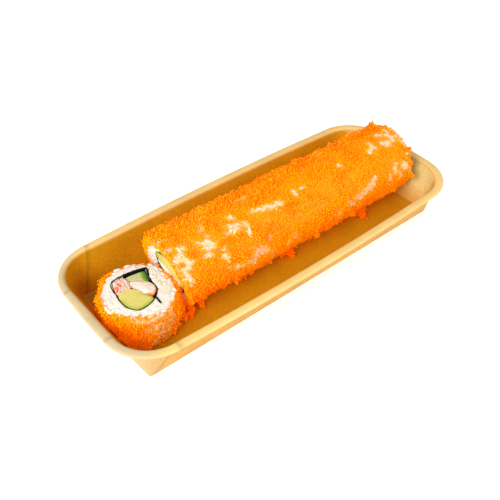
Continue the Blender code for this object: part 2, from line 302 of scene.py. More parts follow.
@dataclass(frozen=True)
class Roe(Finish):
    """Small eggs: each carries its own tint between two shades of one kind, and a painted orange glow."""

    slot: str = "roe"
    dark: Colour = WHITE
    light: Colour = WHITE
    # painted glow: an orange emission that stands in for light passing through the eggs and fills their
    # shaded gaps
    painted_glow: Colour = (1.0, 0.26, 0.0)
    glow_strength: float = 0.18

    def paint(self, tree: ShaderTree) -> None:
        """Mixes the two shades by the egg's tint, and adds the painted glow.

        Args:
            tree: The material's tree.
        """
        tint = tree.attribute("tint")
        tree.shade(Base_Color=tree.mix(tint, self.dark, self.light), Roughness=0.3 + tint * 0.1)
        # painted glow: the eggs emit light though they are no lamp
        tree.shade(Emission_Color=self.painted_glow, Emission_Strength=self.glow_strength)
        tree.shade(Specular_IOR_Level=0.04)
        tree.moisten(0.3, (1.0, 0.35, 0.03), 0.6 * MM)


@dataclass(frozen=True)
class Rice(Finish):
    """Cooked rice, cream white, stained by the roe where the coat covers it."""

    slot: str = "rice"
    grain: Colour = (0.735, 0.695, 0.62)
    shadow: Colour = (0.70, 0.60, 0.51)
    cream: Colour = (0.82, 0.54, 0.30)
    # partly the roe's stain, partly painted shade: rice turns amber towards the bottom, where it lies in
    # shade with orange bounce light
    amber: Colour = (0.84, 0.42, 0.11)
    amber_height: float = 14 * MM
    cream_height: float = 31 * MM
    stain: Colour = (1.0, 0.36, 0.004)
    stain_and_shade_below: float = 0.0
    # painted glow: a faint emission that lightens the rice's shade, whitish on the cut faces and orange on
    # the side under the coat
    painted_glow: Colour = (1.0, 0.92, 0.84)
    coated_painted_glow: Colour = (1.0, 0.26, 0.0)
    glow_strength: float = 0.08

    def paint(self, tree: ShaderTree) -> None:
        """Mixes the rice's shades by its tint, the amber of stain and painted shade towards the bottom, and
        the roe's stain by how far the coat covers it, then adds a painted glow.

        Args:
            tree: The material's tree.
        """
        coated = tree.attribute("coated")
        clouds = tree.noise(2.2 * MM, 3.0)
        height = tree.height().step(self.amber_height, self.cream_height)
        rice = tree.mix(tree.attribute("tint") * 0.6 + clouds * 0.5, self.shadow, self.grain)
        # stain and painted shade: amber towards the bottom of the food
        rice = tree.mix((1.0 - height) * self.stain_and_shade_below, rice, self.amber)
        near_coat = coated.step(0.0, 0.5)
        # the rice's side is amber towards the bottom and cream higher up, as stain and painted shade
        rice = tree.mix(near_coat, rice, tree.mix(height, self.amber, self.cream))
        rice = tree.mix(coated.step(0.5, 1.0), rice, self.stain)
        tree.shade(Base_Color=rice, Roughness=0.38 + clouds * 0.15, Specular_IOR_Level=0.2)
        tree.shade(Normal=tree.bump(tree.noise(0.7 * MM), 0.06 * MM))
        # painted glow, whitish on the cut faces and orange on the side under the coat
        tree.shade(Emission_Color=tree.mix(near_coat, self.painted_glow, self.coated_painted_glow))
        tree.shade(Emission_Strength=self.glow_strength)
        tree.moisten(0.5, (1.0, 0.85, 0.7), 1.4 * MM)


@dataclass(frozen=True)
class StainedRice(Rice):
    """The rice that shows through the coat: warm from the roe's juice, amber towards the bottom as stain and
    painted shade, and with a painted glow.
    """

    grain: Colour = (0.82, 0.59, 0.45)
    shadow: Colour = (0.82, 0.51, 0.31)
    # share of amber stain and painted shade towards the bottom
    stain_and_shade_below: float = 0.85
    # painted glow: a warm emission that keeps the bare patches bright where they lie in shade
    painted_glow: Colour = (1.0, 0.46, 0.14)
    glow_strength: float = 0.18


@dataclass(frozen=True)
class Nori(Finish):
    """Seaweed sheet, nearly black with a green cast, crinkled and a little glossy."""

    slot: str = "nori"
    black: Colour = (0.004, 0.005, 0.003)
    green: Colour = (0.022, 0.026, 0.012)

    def paint(self, tree: ShaderTree) -> None:
        """Mixes black and dark green by a fine noise.

        Args:
            tree: The material's tree.
        """
        fibres = tree.noise(0.8 * MM, 4.0)
        colour = tree.mix(fibres.step(0.45, 0.8), self.black, self.green)
        tree.shade(Base_Color=colour, Roughness=0.32 + fibres * 0.25, Specular_IOR_Level=0.15)
        tree.shade(Normal=tree.bump(fibres, 0.18 * MM))


@dataclass(frozen=True)
class Avocado(Finish):
    """Ripe avocado, yellow-green, greener towards the skin side."""

    slot: str = "avocado"
    flesh: tuple[Colour, Colour] = ((0.62, 0.51, 0.11), (0.70, 0.61, 0.19))
    rind: Colour = (0.34, 0.40, 0.03)

    def paint(self, tree: ShaderTree) -> None:
        """Mixes yellow flesh and green rim by the rind's attribute.

        Args:
            tree: The material's tree.
        """
        clouds = tree.noise(4.5 * MM, 3.0, (1.0, 1.6, 1.0))
        colour = tree.mix(tree.attribute("mark"), tree.mix(clouds, *self.flesh), self.rind)
        tree.shade(Base_Color=colour, Roughness=0.34 + clouds * 0.15, Specular_IOR_Level=0.3)
        tree.shade(Normal=tree.bump(tree.noise(1.1 * MM, 3.0), 0.05 * MM))
        tree.moisten(0.2, (1.0, 0.9, 0.3), 0.8 * MM)


@dataclass(frozen=True)
class CrabStick(Finish):
    """Crab stick flesh, white and moist, with its orange-red skin along two edges."""

    slot: str = "crab_stick"
    flesh: tuple[Colour, Colour] = ((0.72, 0.61, 0.50), (0.76, 0.71, 0.64))
    skin: Colour = (0.88, 0.16, 0.02)

    def paint(self, tree: ShaderTree) -> None:
        """Mixes white flesh with fine fibres, and the red skin by its attribute.

        Args:
            tree: The material's tree.
        """
        fibres = tree.noise(1.3 * MM, 3.0, (0.5, 1.4, 1.0))
        colour = tree.mix(tree.attribute("mark"), tree.mix(fibres, *self.flesh), self.skin)
        tree.shade(Base_Color=colour, Roughness=0.36 + fibres * 0.14, Specular_IOR_Level=0.3)
        tree.shade(Normal=tree.bump(fibres, 0.10 * MM))
        tree.moisten(0.25, (1.0, 0.7, 0.5), 0.8 * MM)


@dataclass(frozen=True)
class CrabShreds(Finish):
    """Shredded crab stick: pink and cream strands, some of them orange-red."""

    slot: str = "crab_shreds"
    stops: tuple[tuple[float, Colour], ...] = (
        (0.0, (0.76, 0.66, 0.58)),
        (0.5, (0.76, 0.48, 0.36)),
        (0.8, (0.80, 0.24, 0.08)),
        (1.0, (0.84, 0.12, 0.02)),
    )

    def paint(self, tree: ShaderTree) -> None:
        """Ramps from cream over pink to red by each strand's tint.

        Args:
            tree: The material's tree.
        """
        tint = tree.attribute("tint") + (tree.noise(1.0 * MM) - 0.5) * 0.4
        tree.shade(Base_Color=tree.ramp(tint, self.stops), Roughness=0.4)
        tree.shade(Normal=tree.bump(tree.noise(0.5 * MM), 0.08 * MM))
        tree.moisten(0.2, (1.0, 0.5, 0.3), 0.6 * MM)


@dataclass(frozen=True)
class Cucumber(Finish):
    """Cucumber flesh, pale green and wet, with its dark green skin at one side."""

    slot: str = "cucumber"
    flesh: tuple[Colour, Colour] = ((0.44, 0.45, 0.14), (0.57, 0.57, 0.28))
    stops: tuple[tuple[float, Colour], ...] = (
        (0.0, (0.36, 0.50, 0.09)),
        (0.5, (0.10, 0.29, 0.004)),
        (0.85, (0.008, 0.04, 0.002)),
    )

    def paint(self, tree: ShaderTree) -> None:
        """Ramps from pale flesh to dark skin by the skin's attribute.

        Args:
            tree: The material's tree.
        """
        skin = tree.attribute("mark")
        clouds = tree.noise(2.4 * MM, 3.0)
        colour = tree.mix(skin.step(0.05, 0.4), tree.mix(clouds, *self.flesh), tree.ramp(skin, self.stops))
        tree.shade(Base_Color=colour, Roughness=0.25 + clouds * 0.15, Coat_Weight=0.2)
        tree.shade(Normal=tree.bump(clouds, 0.08 * MM))
        tree.moisten(0.2, (0.6, 1.0, 0.4), 0.8 * MM)


@dataclass(frozen=True)
class Sweep(Finish):
    """The studio's pale floor."""

    greys: tuple[Colour, Colour] = ((0.93, 0.93, 0.93), (0.97, 0.97, 0.97))
    glow_strength: float = 0.35

    def paint(self, tree: ShaderTree) -> None:
        """Near white, with a trace of unevenness."""
        tree.shade(Base_Color=tree.mix(tree.noise(0.3), *self.greys), Roughness=0.85)
        tree.shade(Emission_Color=WHITE, Emission_Strength=self.glow_strength)


def linked(name: str, data: bpy.types.ID) -> bpy.types.Object:
    """Makes an object and links it to the scene.

    Args:
        name: The object's name.
        data: Its mesh, lamp or camera.

    Returns:
        The object.
    """
    made = bpy.data.objects.new(name, data)
    bpy.context.scene.collection.objects.link(made)
    return made


def add_piece(name: str, mesh: bpy.types.Mesh, finish: Finish, stands_for: Sequence[str]) -> None:
    """Links a finished mesh as one piece of the object.

    Args:
        name: The piece's name.
        mesh: Its mesh, in place.
        finish: What it is dressed with.
        stands_for: The solids that it replaces.
    """
    mesh.name = name
    piece = linked(name, mesh)
    finish.dress(piece)
    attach(piece, BODY)
    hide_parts(*stands_for)
    LOG.info("%s: %d faces", name, len(mesh.polygons))


def meshed(bm: bmesh.types.BMesh) -> bpy.types.Mesh:
    """Turns a bmesh into a mesh.

    Args:
        bm: The bmesh, which is freed.

    Returns:
        The smooth mesh.
    """
    mesh = bpy.data.meshes.new("mesh")
    bm.to_mesh(mesh)
    bm.free()
    mesh.shade_smooth()
    return mesh


def skinned(rings: Sequence[Ring], marks: dict[str, Sequence[Sequence[float]]]) -> bmesh.types.BMesh:
    """A skin through rings of equally many points; a ring of one repeated point is a pole.

    Args:
        rings: The rings in their order. If the last repeats the first, the skin closes on itself.
        marks: Numbers for each ring's points, by the attribute's name.

    Returns:
        The bmesh, welded, with its faces pointing out.
    """
    columns, rows = len(rings[0]), len(rings) - 1
    bm = bmesh.new()
    bmesh.ops.create_grid(bm, x_segments=columns, y_segments=rows, size=1.0)
    layers = {name: bm.verts.layers.float.new(name) for name in marks}
    bm.verts.ensure_lookup_table()
    for row, ring in enumerate(rings):
        for column in range(columns + 1):
            vert = bm.verts[row * (columns + 1) + column]
            vert.co = ring[column % columns]
            for name, layer in layers.items():
                vert[layer] = marks[name][row][column % columns]
    bmesh.ops.remove_doubles(bm, verts=bm.verts, dist=MERGE)
    bmesh.ops.dissolve_degenerate(bm, edges=bm.edges, dist=MERGE)
    bmesh.ops.recalc_face_normals(bm, faces=bm.faces)
    return bm


def lerp(low: float, high: float, share: float) -> float:
    """The number that lies this share of the way from low to high."""
    return low + (high - low) * share


def clamped(value: float) -> float:
    """The number kept between 0 and 1."""
    return min(1.0, max(0.0, value))


def eased(value: float, low: float, high: float) -> float:
    """A smooth rise from 0 at low to 1 at high."""
    share = clamped((value - low) / (high - low))
    return share * share * (3 - 2 * share)


def folded(angle: float, half: float = math.pi) -> float:
    """The angle brought between minus and plus half a turn."""
    return (angle + half) % (2 * half) - half


def waves(point: Vector, length: float, seed: float = 0.0) -> float:
    """Smooth noise, about from -1 to 1, with waves of this length in metres."""
    return noise.noise(point / length + Vector((seed, -seed, 2 * seed)))


def middle_of(loop: Ring) -> Vector:
    """The mean of a loop's points."""
    return sum(loop, Vector()) / len(loop)


def between(low: Ring, high: Ring, share: float) -> Ring:
    """The ring that lies this share of the way from one ring to another."""
    return [start.lerp(end, share) for start, end in zip(low, high)]


@dataclass
class Scatter:
    """Many copies of one small shape, joined into one mesh, each with its own tint."""

    places: list[Vector] = field(default_factory=list)
    axes: list[Matrix] = field(default_factory=list)
    tints: list[float] = field(default_factory=list)

    def add(self, place: Vector, axes: Matrix, tint: float) -> None:
        """Adds one copy.

        Args:
            place: Where it is.
            axes: Its axes with their lengths, as columns.
            tint: Its tint.
        """
        self.places.append(place.copy())
        self.axes.append(axes)
        self.tints.append(tint)

    def mesh(self, shape: bmesh.types.BMesh) -> bpy.types.Mesh:
        """Joins the copies.

        Args:
            shape: One copy at unit size, which is freed.

        Returns:
            The smooth mesh, with the tint at each point.
        """
        shape.verts.ensure_lookup_table()
        corners = np.array([vert.co for vert in shape.verts])
        faces = np.array([[vert.index for vert in face.verts] for face in shape.faces])
        shape.free()
        turns = np.array([list(map(list, turn)) for turn in self.axes])
        points = np.einsum("kij,nj->kni", turns, corners) + np.array(self.places)[:, None, :]
        links = faces[None, :, :] + len(corners) * np.arange(len(self.places))[:, None, None]
        mesh = bpy.data.meshes.new("scatter")
        mesh.from_pydata(points.reshape(-1, 3), [], links.reshape(-1, faces.shape[1]).tolist())
        mesh.shade_smooth()
        tints = mesh.attributes.new("tint", "FLOAT", "POINT")
        tints.data.foreach_set("value", np.repeat(self.tints, len(corners)).astype(np.float32))
        return mesh


def ball(detail: int) -> bmesh.types.BMesh:
    """A ball of radius 1.

    Args:
        detail: How finely it is divided.

    Returns:
        The bmesh.
    """
    bm = bmesh.new()
    bmesh.ops.create_icosphere(bm, subdivisions=detail, radius=1.0)
    return bm


def bent_grain(bend: float) -> bmesh.types.BMesh:
    """A ball of radius 1 that is bent towards Z along its length in X.

    Args:
        bend: How far its middle rises.

    Returns:
        The bmesh.
    """
    bm = ball(2)
    for vert in bm.verts:
        vert.co.z += bend * (1 - vert.co.x**2)
    return bm


def any_turn(draw: random.Random) -> Matrix:
    """A random turn."""
    axis = Vector((draw.gauss(0, 1), draw.gauss(0, 1), draw.gauss(0, 1))).normalized()
    return Matrix.Rotation(draw.uniform(0, math.tau), 3, axis)


def turned(axes: Matrix, yaw: float, tilt: float, lengths: Vector) -> Matrix:
    """Axes of a grain that lies on a surface.

    Args:
        axes: The surface's axes as columns, with its normal last.
        yaw: The grain's turn on the surface.
        tilt: How far its long axis rises from the surface.
        lengths: Its half length, half width and half thickness.

    Returns:
        The axes, scaled, as columns.
    """
    axes = axes @ Matrix.Rotation(yaw, 3, "Z")
    return axes @ Matrix.Rotation(tilt, 3, "Y") @ Matrix.Diagonal(lengths)


def facing(out: Vector) -> Matrix:
    """Axes of a surface with this normal."""
    return out.to_track_quat("Z", "Y").to_matrix()


def darts(
    draw: random.Random, length: float, width: float, spacing: float, tries: int
) -> list[tuple[float, float]]:
    """Random points on a strip that keep a distance; the strip's width closes on itself.

    Args:
        draw: The random source.
        length: The strip's length.
        width: Its width, which wraps round.
        spacing: The least distance.
        tries: How many points are thrown.

    Returns:
        The points that found room.
    """
    rows = max(1, int(width / spacing))
    cell = width / rows
    kept: dict[tuple[int, int], list[tuple[float, float]]] = {}
    neighbours = [(across, round_) for across in (-1, 0, 1) for round_ in (-1, 0, 1)]
    points = []
    for _ in range(tries):
        x, y = draw.uniform(0, length), draw.uniform(0, width)
        column, row = int(x / cell), int(y / cell) % rows
        crowded = any(
            (other_x - x) ** 2 + min(abs(other_y - y), width - abs(other_y - y)) ** 2 < spacing**2
            for across, round_ in neighbours
            for other_x, other_y in kept.get((column + across, (row + round_) % rows), ())
        )
        if not crowded:
            kept.setdefault((column, row), []).append((x, y))
            points.append((x, y))
    return points


@dataclass
class Tray:
    """The kraft paper tray: flat base, slanted walls with conical corners, and a rolled rim."""

    rim_length: float = 216 * MM
    rim_width: float = 86 * MM
    rim_radius: float = 24.4 * MM
    rim_bows: tuple[float, float] = (1.8 * MM, 0.4 * MM)
    height: float = 22.6 * MM
    band: float = 4.7 * MM
    drop: float = 1.5 * MM
    base_length: float = 190.6 * MM
    base_width: float = 64.2 * MM
    base_radius: float = 1.6 * MM
    paper: float = 0.8 * MM
    side_steps: int = 60
    end_steps: int = 20
    corner_steps: int = 28
    corner_narrowing: float = 2.0 * MM
    floor_insets: tuple[float, ...] = (1.7 * MM, 10 * MM, 19 * MM)
    outer_rises: tuple[float, ...] = (0.02, 0.06, 0.2, 0.4, 0.6, 0.8, 0.94)
    inner_drops: tuple[float, ...] = (0.04, 0.1, 0.25, 0.4, 0.55, 0.7, 0.85, 0.95, 0.985)
    sharp_degrees: float = 38.0

    def outline(
        self, length: float, width: float, radius: float, bows: tuple[float, float], height: float
    ) -> Ring:
        """Bowed sides joined by round corners, anticlockwise from the front left.

        Args:
            length: The outline's length along X.
            width: Its width along Y.
            radius: Its corners' radius.
            bows: How far its long and its short sides bow out.
            height: Its height.

        Returns:
            The outline's points, equally many for each outline.
        """
        half_x, half_y = length / 2 - radius, width / 2 - radius
        points = []
        for turn in range(4):
            long_side = turn % 2 == 0
            steps = self.side_steps if long_side else self.end_steps
            straight, reach = (half_x, width / 2) if long_side else (half_y, length / 2)
            bow = bows[0] if long_side else bows[1]
            along = Vector((math.cos(turn * math.pi / 2), math.sin(turn * math.pi / 2), 0))
            outward = Vector((along.y, -along.x, 0))
            for step in range(steps):
                place = 2 * step / steps - 1
                points.append(along * straight * place + outward * (reach + bow * (1 - place**2)))
            corner = along * straight + outward * (reach - radius)
            for step in range(self.corner_steps):
                angle = step / self.corner_steps * math.pi / 2
                points.append(corner + radius * (outward * math.cos(angle) + along * math.sin(angle)))
        for point in points:
            point.z = height
        return points

    def rim(self, inset: float, height: float) -> Ring:
        """The rim's outline.

        Args:
            inset: How far it is moved inwards.
            height: Its height.

        Returns:
            The outline, narrower at the back left corner.
        """
        length, width = self.rim_length - 2 * inset, self.rim_width - 2 * inset
        ring = self.outline(length, width, self.rim_radius - inset, self.rim_bows, height)
        narrowing = self.corner_narrowing * eased(inset, 1 * MM, self.band)
        for point in ring:
            point += Vector((-1, 1, 0)) * narrowing * self.back_left(point)
        return ring

    def back_left(self, point: Vector) -> float:
        """How near a point is to the rim's back left corner.

        Args:
            point: The point.

        Returns:
            1 in the corner, 0 far away.
        """
        reach = 1.6 * self.rim_radius
        off_x, off_y = self.rim_length / 2 + point.x, self.rim_width / 2 - point.y
        return max(0.0, 1 - off_x / reach) * max(0.0, 1 - off_y / reach)

    def base(self, inset: float, height: float) -> Ring:
        """The base's outline, nearly sharp at its corners."""
        length, width = self.base_length - 2 * inset, self.base_width - 2 * inset
        return self.outline(length, width, self.base_radius, (0.0, 0.0), height)

    def profile(self) -> list[tuple[Ring, float, float, float]]:
        """The rings from under the base over the rim to the floor, each with its marks.

        Returns:
            Ring, share of inside paper, share of rim, and share of the floor's crease.
        """
        top, paper = self.height, self.paper
        low, edge = top - self.drop, top - 0.6 * self.drop
        under, lip = self.rim(self.band - paper, low - paper / 2), self.rim(self.band, edge)
        foot, floor = self.base(0.0, 0.0), self.base(paper, paper)
        bottom = [self.base(self.base_width * 0.3 * share, 0.0) for share in (1.0, 0.5, 0.04)]
        rows = [([Vector()] * len(under), 0.0, 0.0, 0.0)]
        rows += [(ring, 0.0, 0.0, 0.0) for ring in (*bottom, foot)]
        rows += [(between(foot, under, share), 0.0, 0.0, 0.0) for share in self.outer_rises]
        rows.append((under, 0.0, 0.3, 0.0))
        for inset_mm, level, rise in (
            (2.4, low, -0.30),
            (1.0, low, -0.10),
            (0.30, low, 0.05),
            (0.05, low, 0.35),
            (0.0, edge, 0.0),
            (0.12, edge, 0.32),
            (0.40, top, -0.30),
            (0.95, top, -0.08),
            (1.7, top, 0.0),
            (2.5, top, -0.02),
            (3.2, top, -0.08),
            (3.8, top, -0.22),
            (4.3, top, -0.48),
        ):
            rows.append((self.rim(inset_mm * MM, level + rise * MM), 0.0, 1.0, 0.0))
        rows.append((lip, 0.5, 0.5, 0.0))
        rows += [(between(lip, floor, share), 1.0, 0.0, 0.0) for share in self.inner_drops]
        rows.append((floor, 1.0, 0.0, 1.0))
        rows += [(self.base(inset, paper), 1.0, 0.0, 0.0) for inset in self.floor_insets]
        rows.append(([Vector((0, 0, paper))] * len(under), 1.0, 0.0, 0.0))
        return rows

    def painted_fold_shades(self, ring: Ring, line: float) -> list[float]:
        """Painted shade in a ring's folds, at the two ends of each corner of the left half.

        Args:
            ring: The ring.
            line: The painted shading that the whole ring has.

        Returns:
            The painted shading at each point.
        """
        counts = (self.side_steps, self.corner_steps, self.end_steps, self.corner_steps) * 2
        starts = [step == 0 for count in counts for step in range(count)]
        return [
            line + float(start and point.z > self.paper * 1.5 and point.x < 0)
            for point, start in zip(ring, starts)
        ]

    def build(self) -> None:
        """Makes the tray's skin and dresses it."""
        rings = []
        marks = {name: [] for name in ("inside", "rim", "crease", "painted_light_share", "painted_shading")}
        for ring, inside, rim, crease in self.profile():
            rings.append(ring)
            marks["inside"].append([inside] * len(ring))
            marks["rim"].append([rim] * len(ring))
            marks["crease"].append([crease] * len(ring))
            # painted light that pales the paper at the tray's ends
            marks["painted_light_share"].append([self.painted_light(point, inside) for point in ring])
            # painted shade in the corner folds and round the rim's outer edge, painted highlight along the
            # rim's top
            marks["painted_shading"].append(self.painted_fold_shades(ring, self.painted_lip_shading(ring[0].z) if rim == 1.0 else 0.0))
        mesh = meshed(skinned(rings, marks))
        mesh.set_sharp_from_angle(angle=math.radians(self.sharp_degrees))
        add_piece("kraft_tray", mesh, KraftPaper(), ["tray"])

    def painted_light(self, point: Vector, inside: float) -> float:
        """How much painted light pales the paper at the tray's ends, where they face the key lamp.

        Args:
            point: The point.
            inside: The share of inside paper there.

        Returns:
            The share: outside towards the left end, inside towards the right one.
        """
        reach = self.rim_length / 2
        left = min(0.75, max(0.0, (-point.x - 0.80 * reach) / (0.2 * reach)))
        right = clamped((point.x - self.base_length / 2 + 2 * MM) / (0.05 * reach))
        return lerp(left, right, inside)

    def painted_lip_shading(self, height: float) -> float:
        """Painted shade round the rim's outer edge and a painted highlight along its top."""
        return lerp(0.45, -0.3, eased(height, self.height - self.drop, self.height - 0.3 * MM))


@dataclass(frozen=True)
class Patch:
    """A place where the roe has left the rice bare: an ellipse on the unrolled coat.

    Millimetres along the food and degrees round it, half length, half width, and the turn of the
    length towards rising degrees.
    """

    along: float
    degrees: float
    half_length: float
    half_width: float
    turn: float = 0.0

    def depth(self, along: float, around: float, radius: float) -> float:
        """How far a point lies inside: 1 in the middle, 0 on the edge.

        Args:
            along: The point's place along the food, in millimetres.
            around: Its angle in degrees.
            radius: The coat's radius in millimetres.

        Returns:
            The depth, below 0 outside.
        """
        off_x = along - self.along
        off_y = math.radians(folded(around - self.degrees, 180)) * radius
        angle = math.radians(self.turn)
        run = off_x * math.cos(angle) + off_y * math.sin(angle)
        rise = off_y * math.cos(angle) - off_x * math.sin(angle)
        return 1 - math.hypot(run / self.half_length, rise / self.half_width)


# Where the long roll's rice shows, by the fields of Patch
ROLL_PATCHES = (
    (-65.5, -12, 1.4, 0.7, 20), (-64, -5, 1.4, 0.5, 20), (-62, 16, 1.5, 1.1, 30), (-65.8, 27, 0.9, 0.7),
    (-60, -4, 1.6, 0.45, 60), (-60, 31, 5.2, 1.5, 143), (-57.5, 41, 3.4, 1.7, 60), (-60, 50, 2.2, 1.0, 20),
    (-60.3, 62, 3.8, 1.4, 80), (-44.5, 35, 3.3, 2.2, 25), (-46, 49, 2.2, 1.3, 25),
    (-42, 9, 2.4, 0.8, 125), (-42.5, 24, 1.4, 0.6, 120), (-37.5, 51, 1.4, 1.1, 25),
    (-36.5, -10, 1.4, 0.45, 30), (-26.5, 30, 3.0, 2.0, 20), (-31, 34, 1.7, 0.45, 150),
    (-25.5, 15, 1.8, 1.0, 60), (-21, 33, 1.8, 0.9, 60), (-21, 43, 2.3, 0.6, 120), (-15, -9, 1.4, 0.9, 50),
    (-10.5, -9, 2.0, 0.7, 125), (-4, -6, 1.0, 0.6, 40), (1, -12, 0.7, 0.6), (-6.5, 26, 5.6, 1.4, 14),
    (1.5, 29, 2.4, 1.4, 20), (-5.5, 15, 0.9, 0.5, 30), (-32.5, 89, 2.4, 1.5, 0), (-28.0, 88, 3.0, 1.0, 10),
    (-23.0, 93, 3.2, 1.5, 25), (-17.5, 84, 4.2, 2.6, 10), (-20.5, 81, 1.4, 1.4, 0),
    (-9.6, 99, 2.0, 0.8, 20), (1.2, 96, 2.2, 0.7, 15), (4.3, 90, 2.4, 1.0, 100), (-38.3, 80, 1.1, 0.9, 0),
    (-32.3, 109, 1.2, 0.9, 0), (-36.0, 111, 1.8, 0.7, 10), (-37.8, 62, 2.4, 1.0, 70),
    (-11, 67, 2.0, 0.5, 100), (-19.5, 67, 1.4, 0.5, 100), (-9, 101, 2.2, 0.8, 35),
    (13.5, 25, 1.7, 1.1, 100), (19.5, 24, 1.6, 0.7, 15), (14.5, 49, 1.1, 0.6, 80), (47, 19, 1.3, 0.8, 30),
    (46.8, 89, 2.6, 1.2, 20), (52.5, 81, 3.4, 1.8, 170), (43.5, 81, 2.1, 1.0, 90), (37, 94, 2.3, 1.0, 75),
    (31.5, 94, 1.3, 0.8, 75), (58.5, 77, 3.4, 2.0, 150), (63, 71, 3.2, 1.7, 110), (74, 12, 3.0, 1.3, 88),
    (70.5, 20, 1.5, 1.2), (77, 81, 2.0, 1.4, 45), (82.5, 22, 3.0, 1.9, 45), (84.5, 1, 3.2, 1.5, 30),
    (88, 9, 2.4, 1.1, 130), (89.5, -3, 1.6, 0.6, 130), (88, 20, 1.9, 1.3, 140), (93, 15, 2.2, 1.0, 130),
    (92.5, 31, 1.7, 0.9, 120), (93, 48, 1.4, 1.0, 110), (81.5, 69, 3.2, 1.1, 100),
    (84.5, 84, 2.3, 1.1, 80), (89, 72, 3.0, 2.0, 45),
)
# Where the slice's rice shows, by its height and the angle round it
SLICE_PATCHES = (
    (20.0, -116, 0.8, 3.2), (18.9, -106, 0.7, 2.0), (20.0, -92, 1.3, 3.6), (17.5, -79, 1.6, 2.2),
    (13.5, -93, 3.0, 4.4), (10.5, -76, 2.8, 2.6), (8.5, -92, 1.5, 2.4), (14.0, -115, 1.0, 2.2),
    (4.5, -90, 2.2, 4.6), (14.0, -68, 4.5, 1.6), (20.0, -72, 1.2, 1.5), (21.2, -133, 0.6, 0.7),
)


@dataclass(frozen=True)
class Spill:
    """How far the coat reaches over the edge of a cut: degrees and millimetres, with a ragged edge."""

    reaches: tuple[tuple[float, float], ...]
    wander: float = 0.8
    wander_length: float = 2.4 * MM

    def reach(self, degrees: float, place: Vector) -> float:
        """The reach at one place of the edge.

        Args:
            degrees: Its angle.
            place: The place itself, which the raggedness follows.

        Returns:
            The reach in metres, between those at the given angles.
        """
        degrees %= 360
        before = max((item for item in self.reaches if item[0] <= degrees), default=self.reaches[-1])
        after = min((item for item in self.reaches if item[0] > degrees), default=self.reaches[0])
        share = ((degrees - before[0]) % 360) / ((after[0] - before[0]) % 360 or 360)
        wandering = self.wander * waves(place, self.wander_length, 13.0)
        return (lerp(before[1], after[1], share) + wandering) * MM


SLICE_SPILL = Spill(
    (
        (5, 1.2), (22, -0.8), (45, -1.8), (62, -2.4), (85, -2.2), (98, -1.0), (108, 0.8), (122, -0.8),
        (138, 2.0), (152, -0.6), (171, 2.8), (188, -0.4), (202, 1.0), (225, 2.0), (243, 2.1), (256, 1.3),
        (272, 0.0), (290, -0.9), (305, -0.5), (325, 0.4), (343, 1.0),
    ),
    wander=1.7,
)
NEAR_SPILL = Spill(
    (
        (0, 3.2), (30, 2.8), (60, 4.6), (95, 5.8), (125, 5.0), (160, 2.0), (220, 1.6), (275, 3.2),
        (325, 5.0),
    )
)
FAR_SPILL = Spill(((0, 2.6), (60, 2.0), (120, 1.2), (200, 1.4), (290, 2.4)))
HIDDEN_SPILL = Spill(((0, 0.3), (180, 0.3)), wander=0.2)


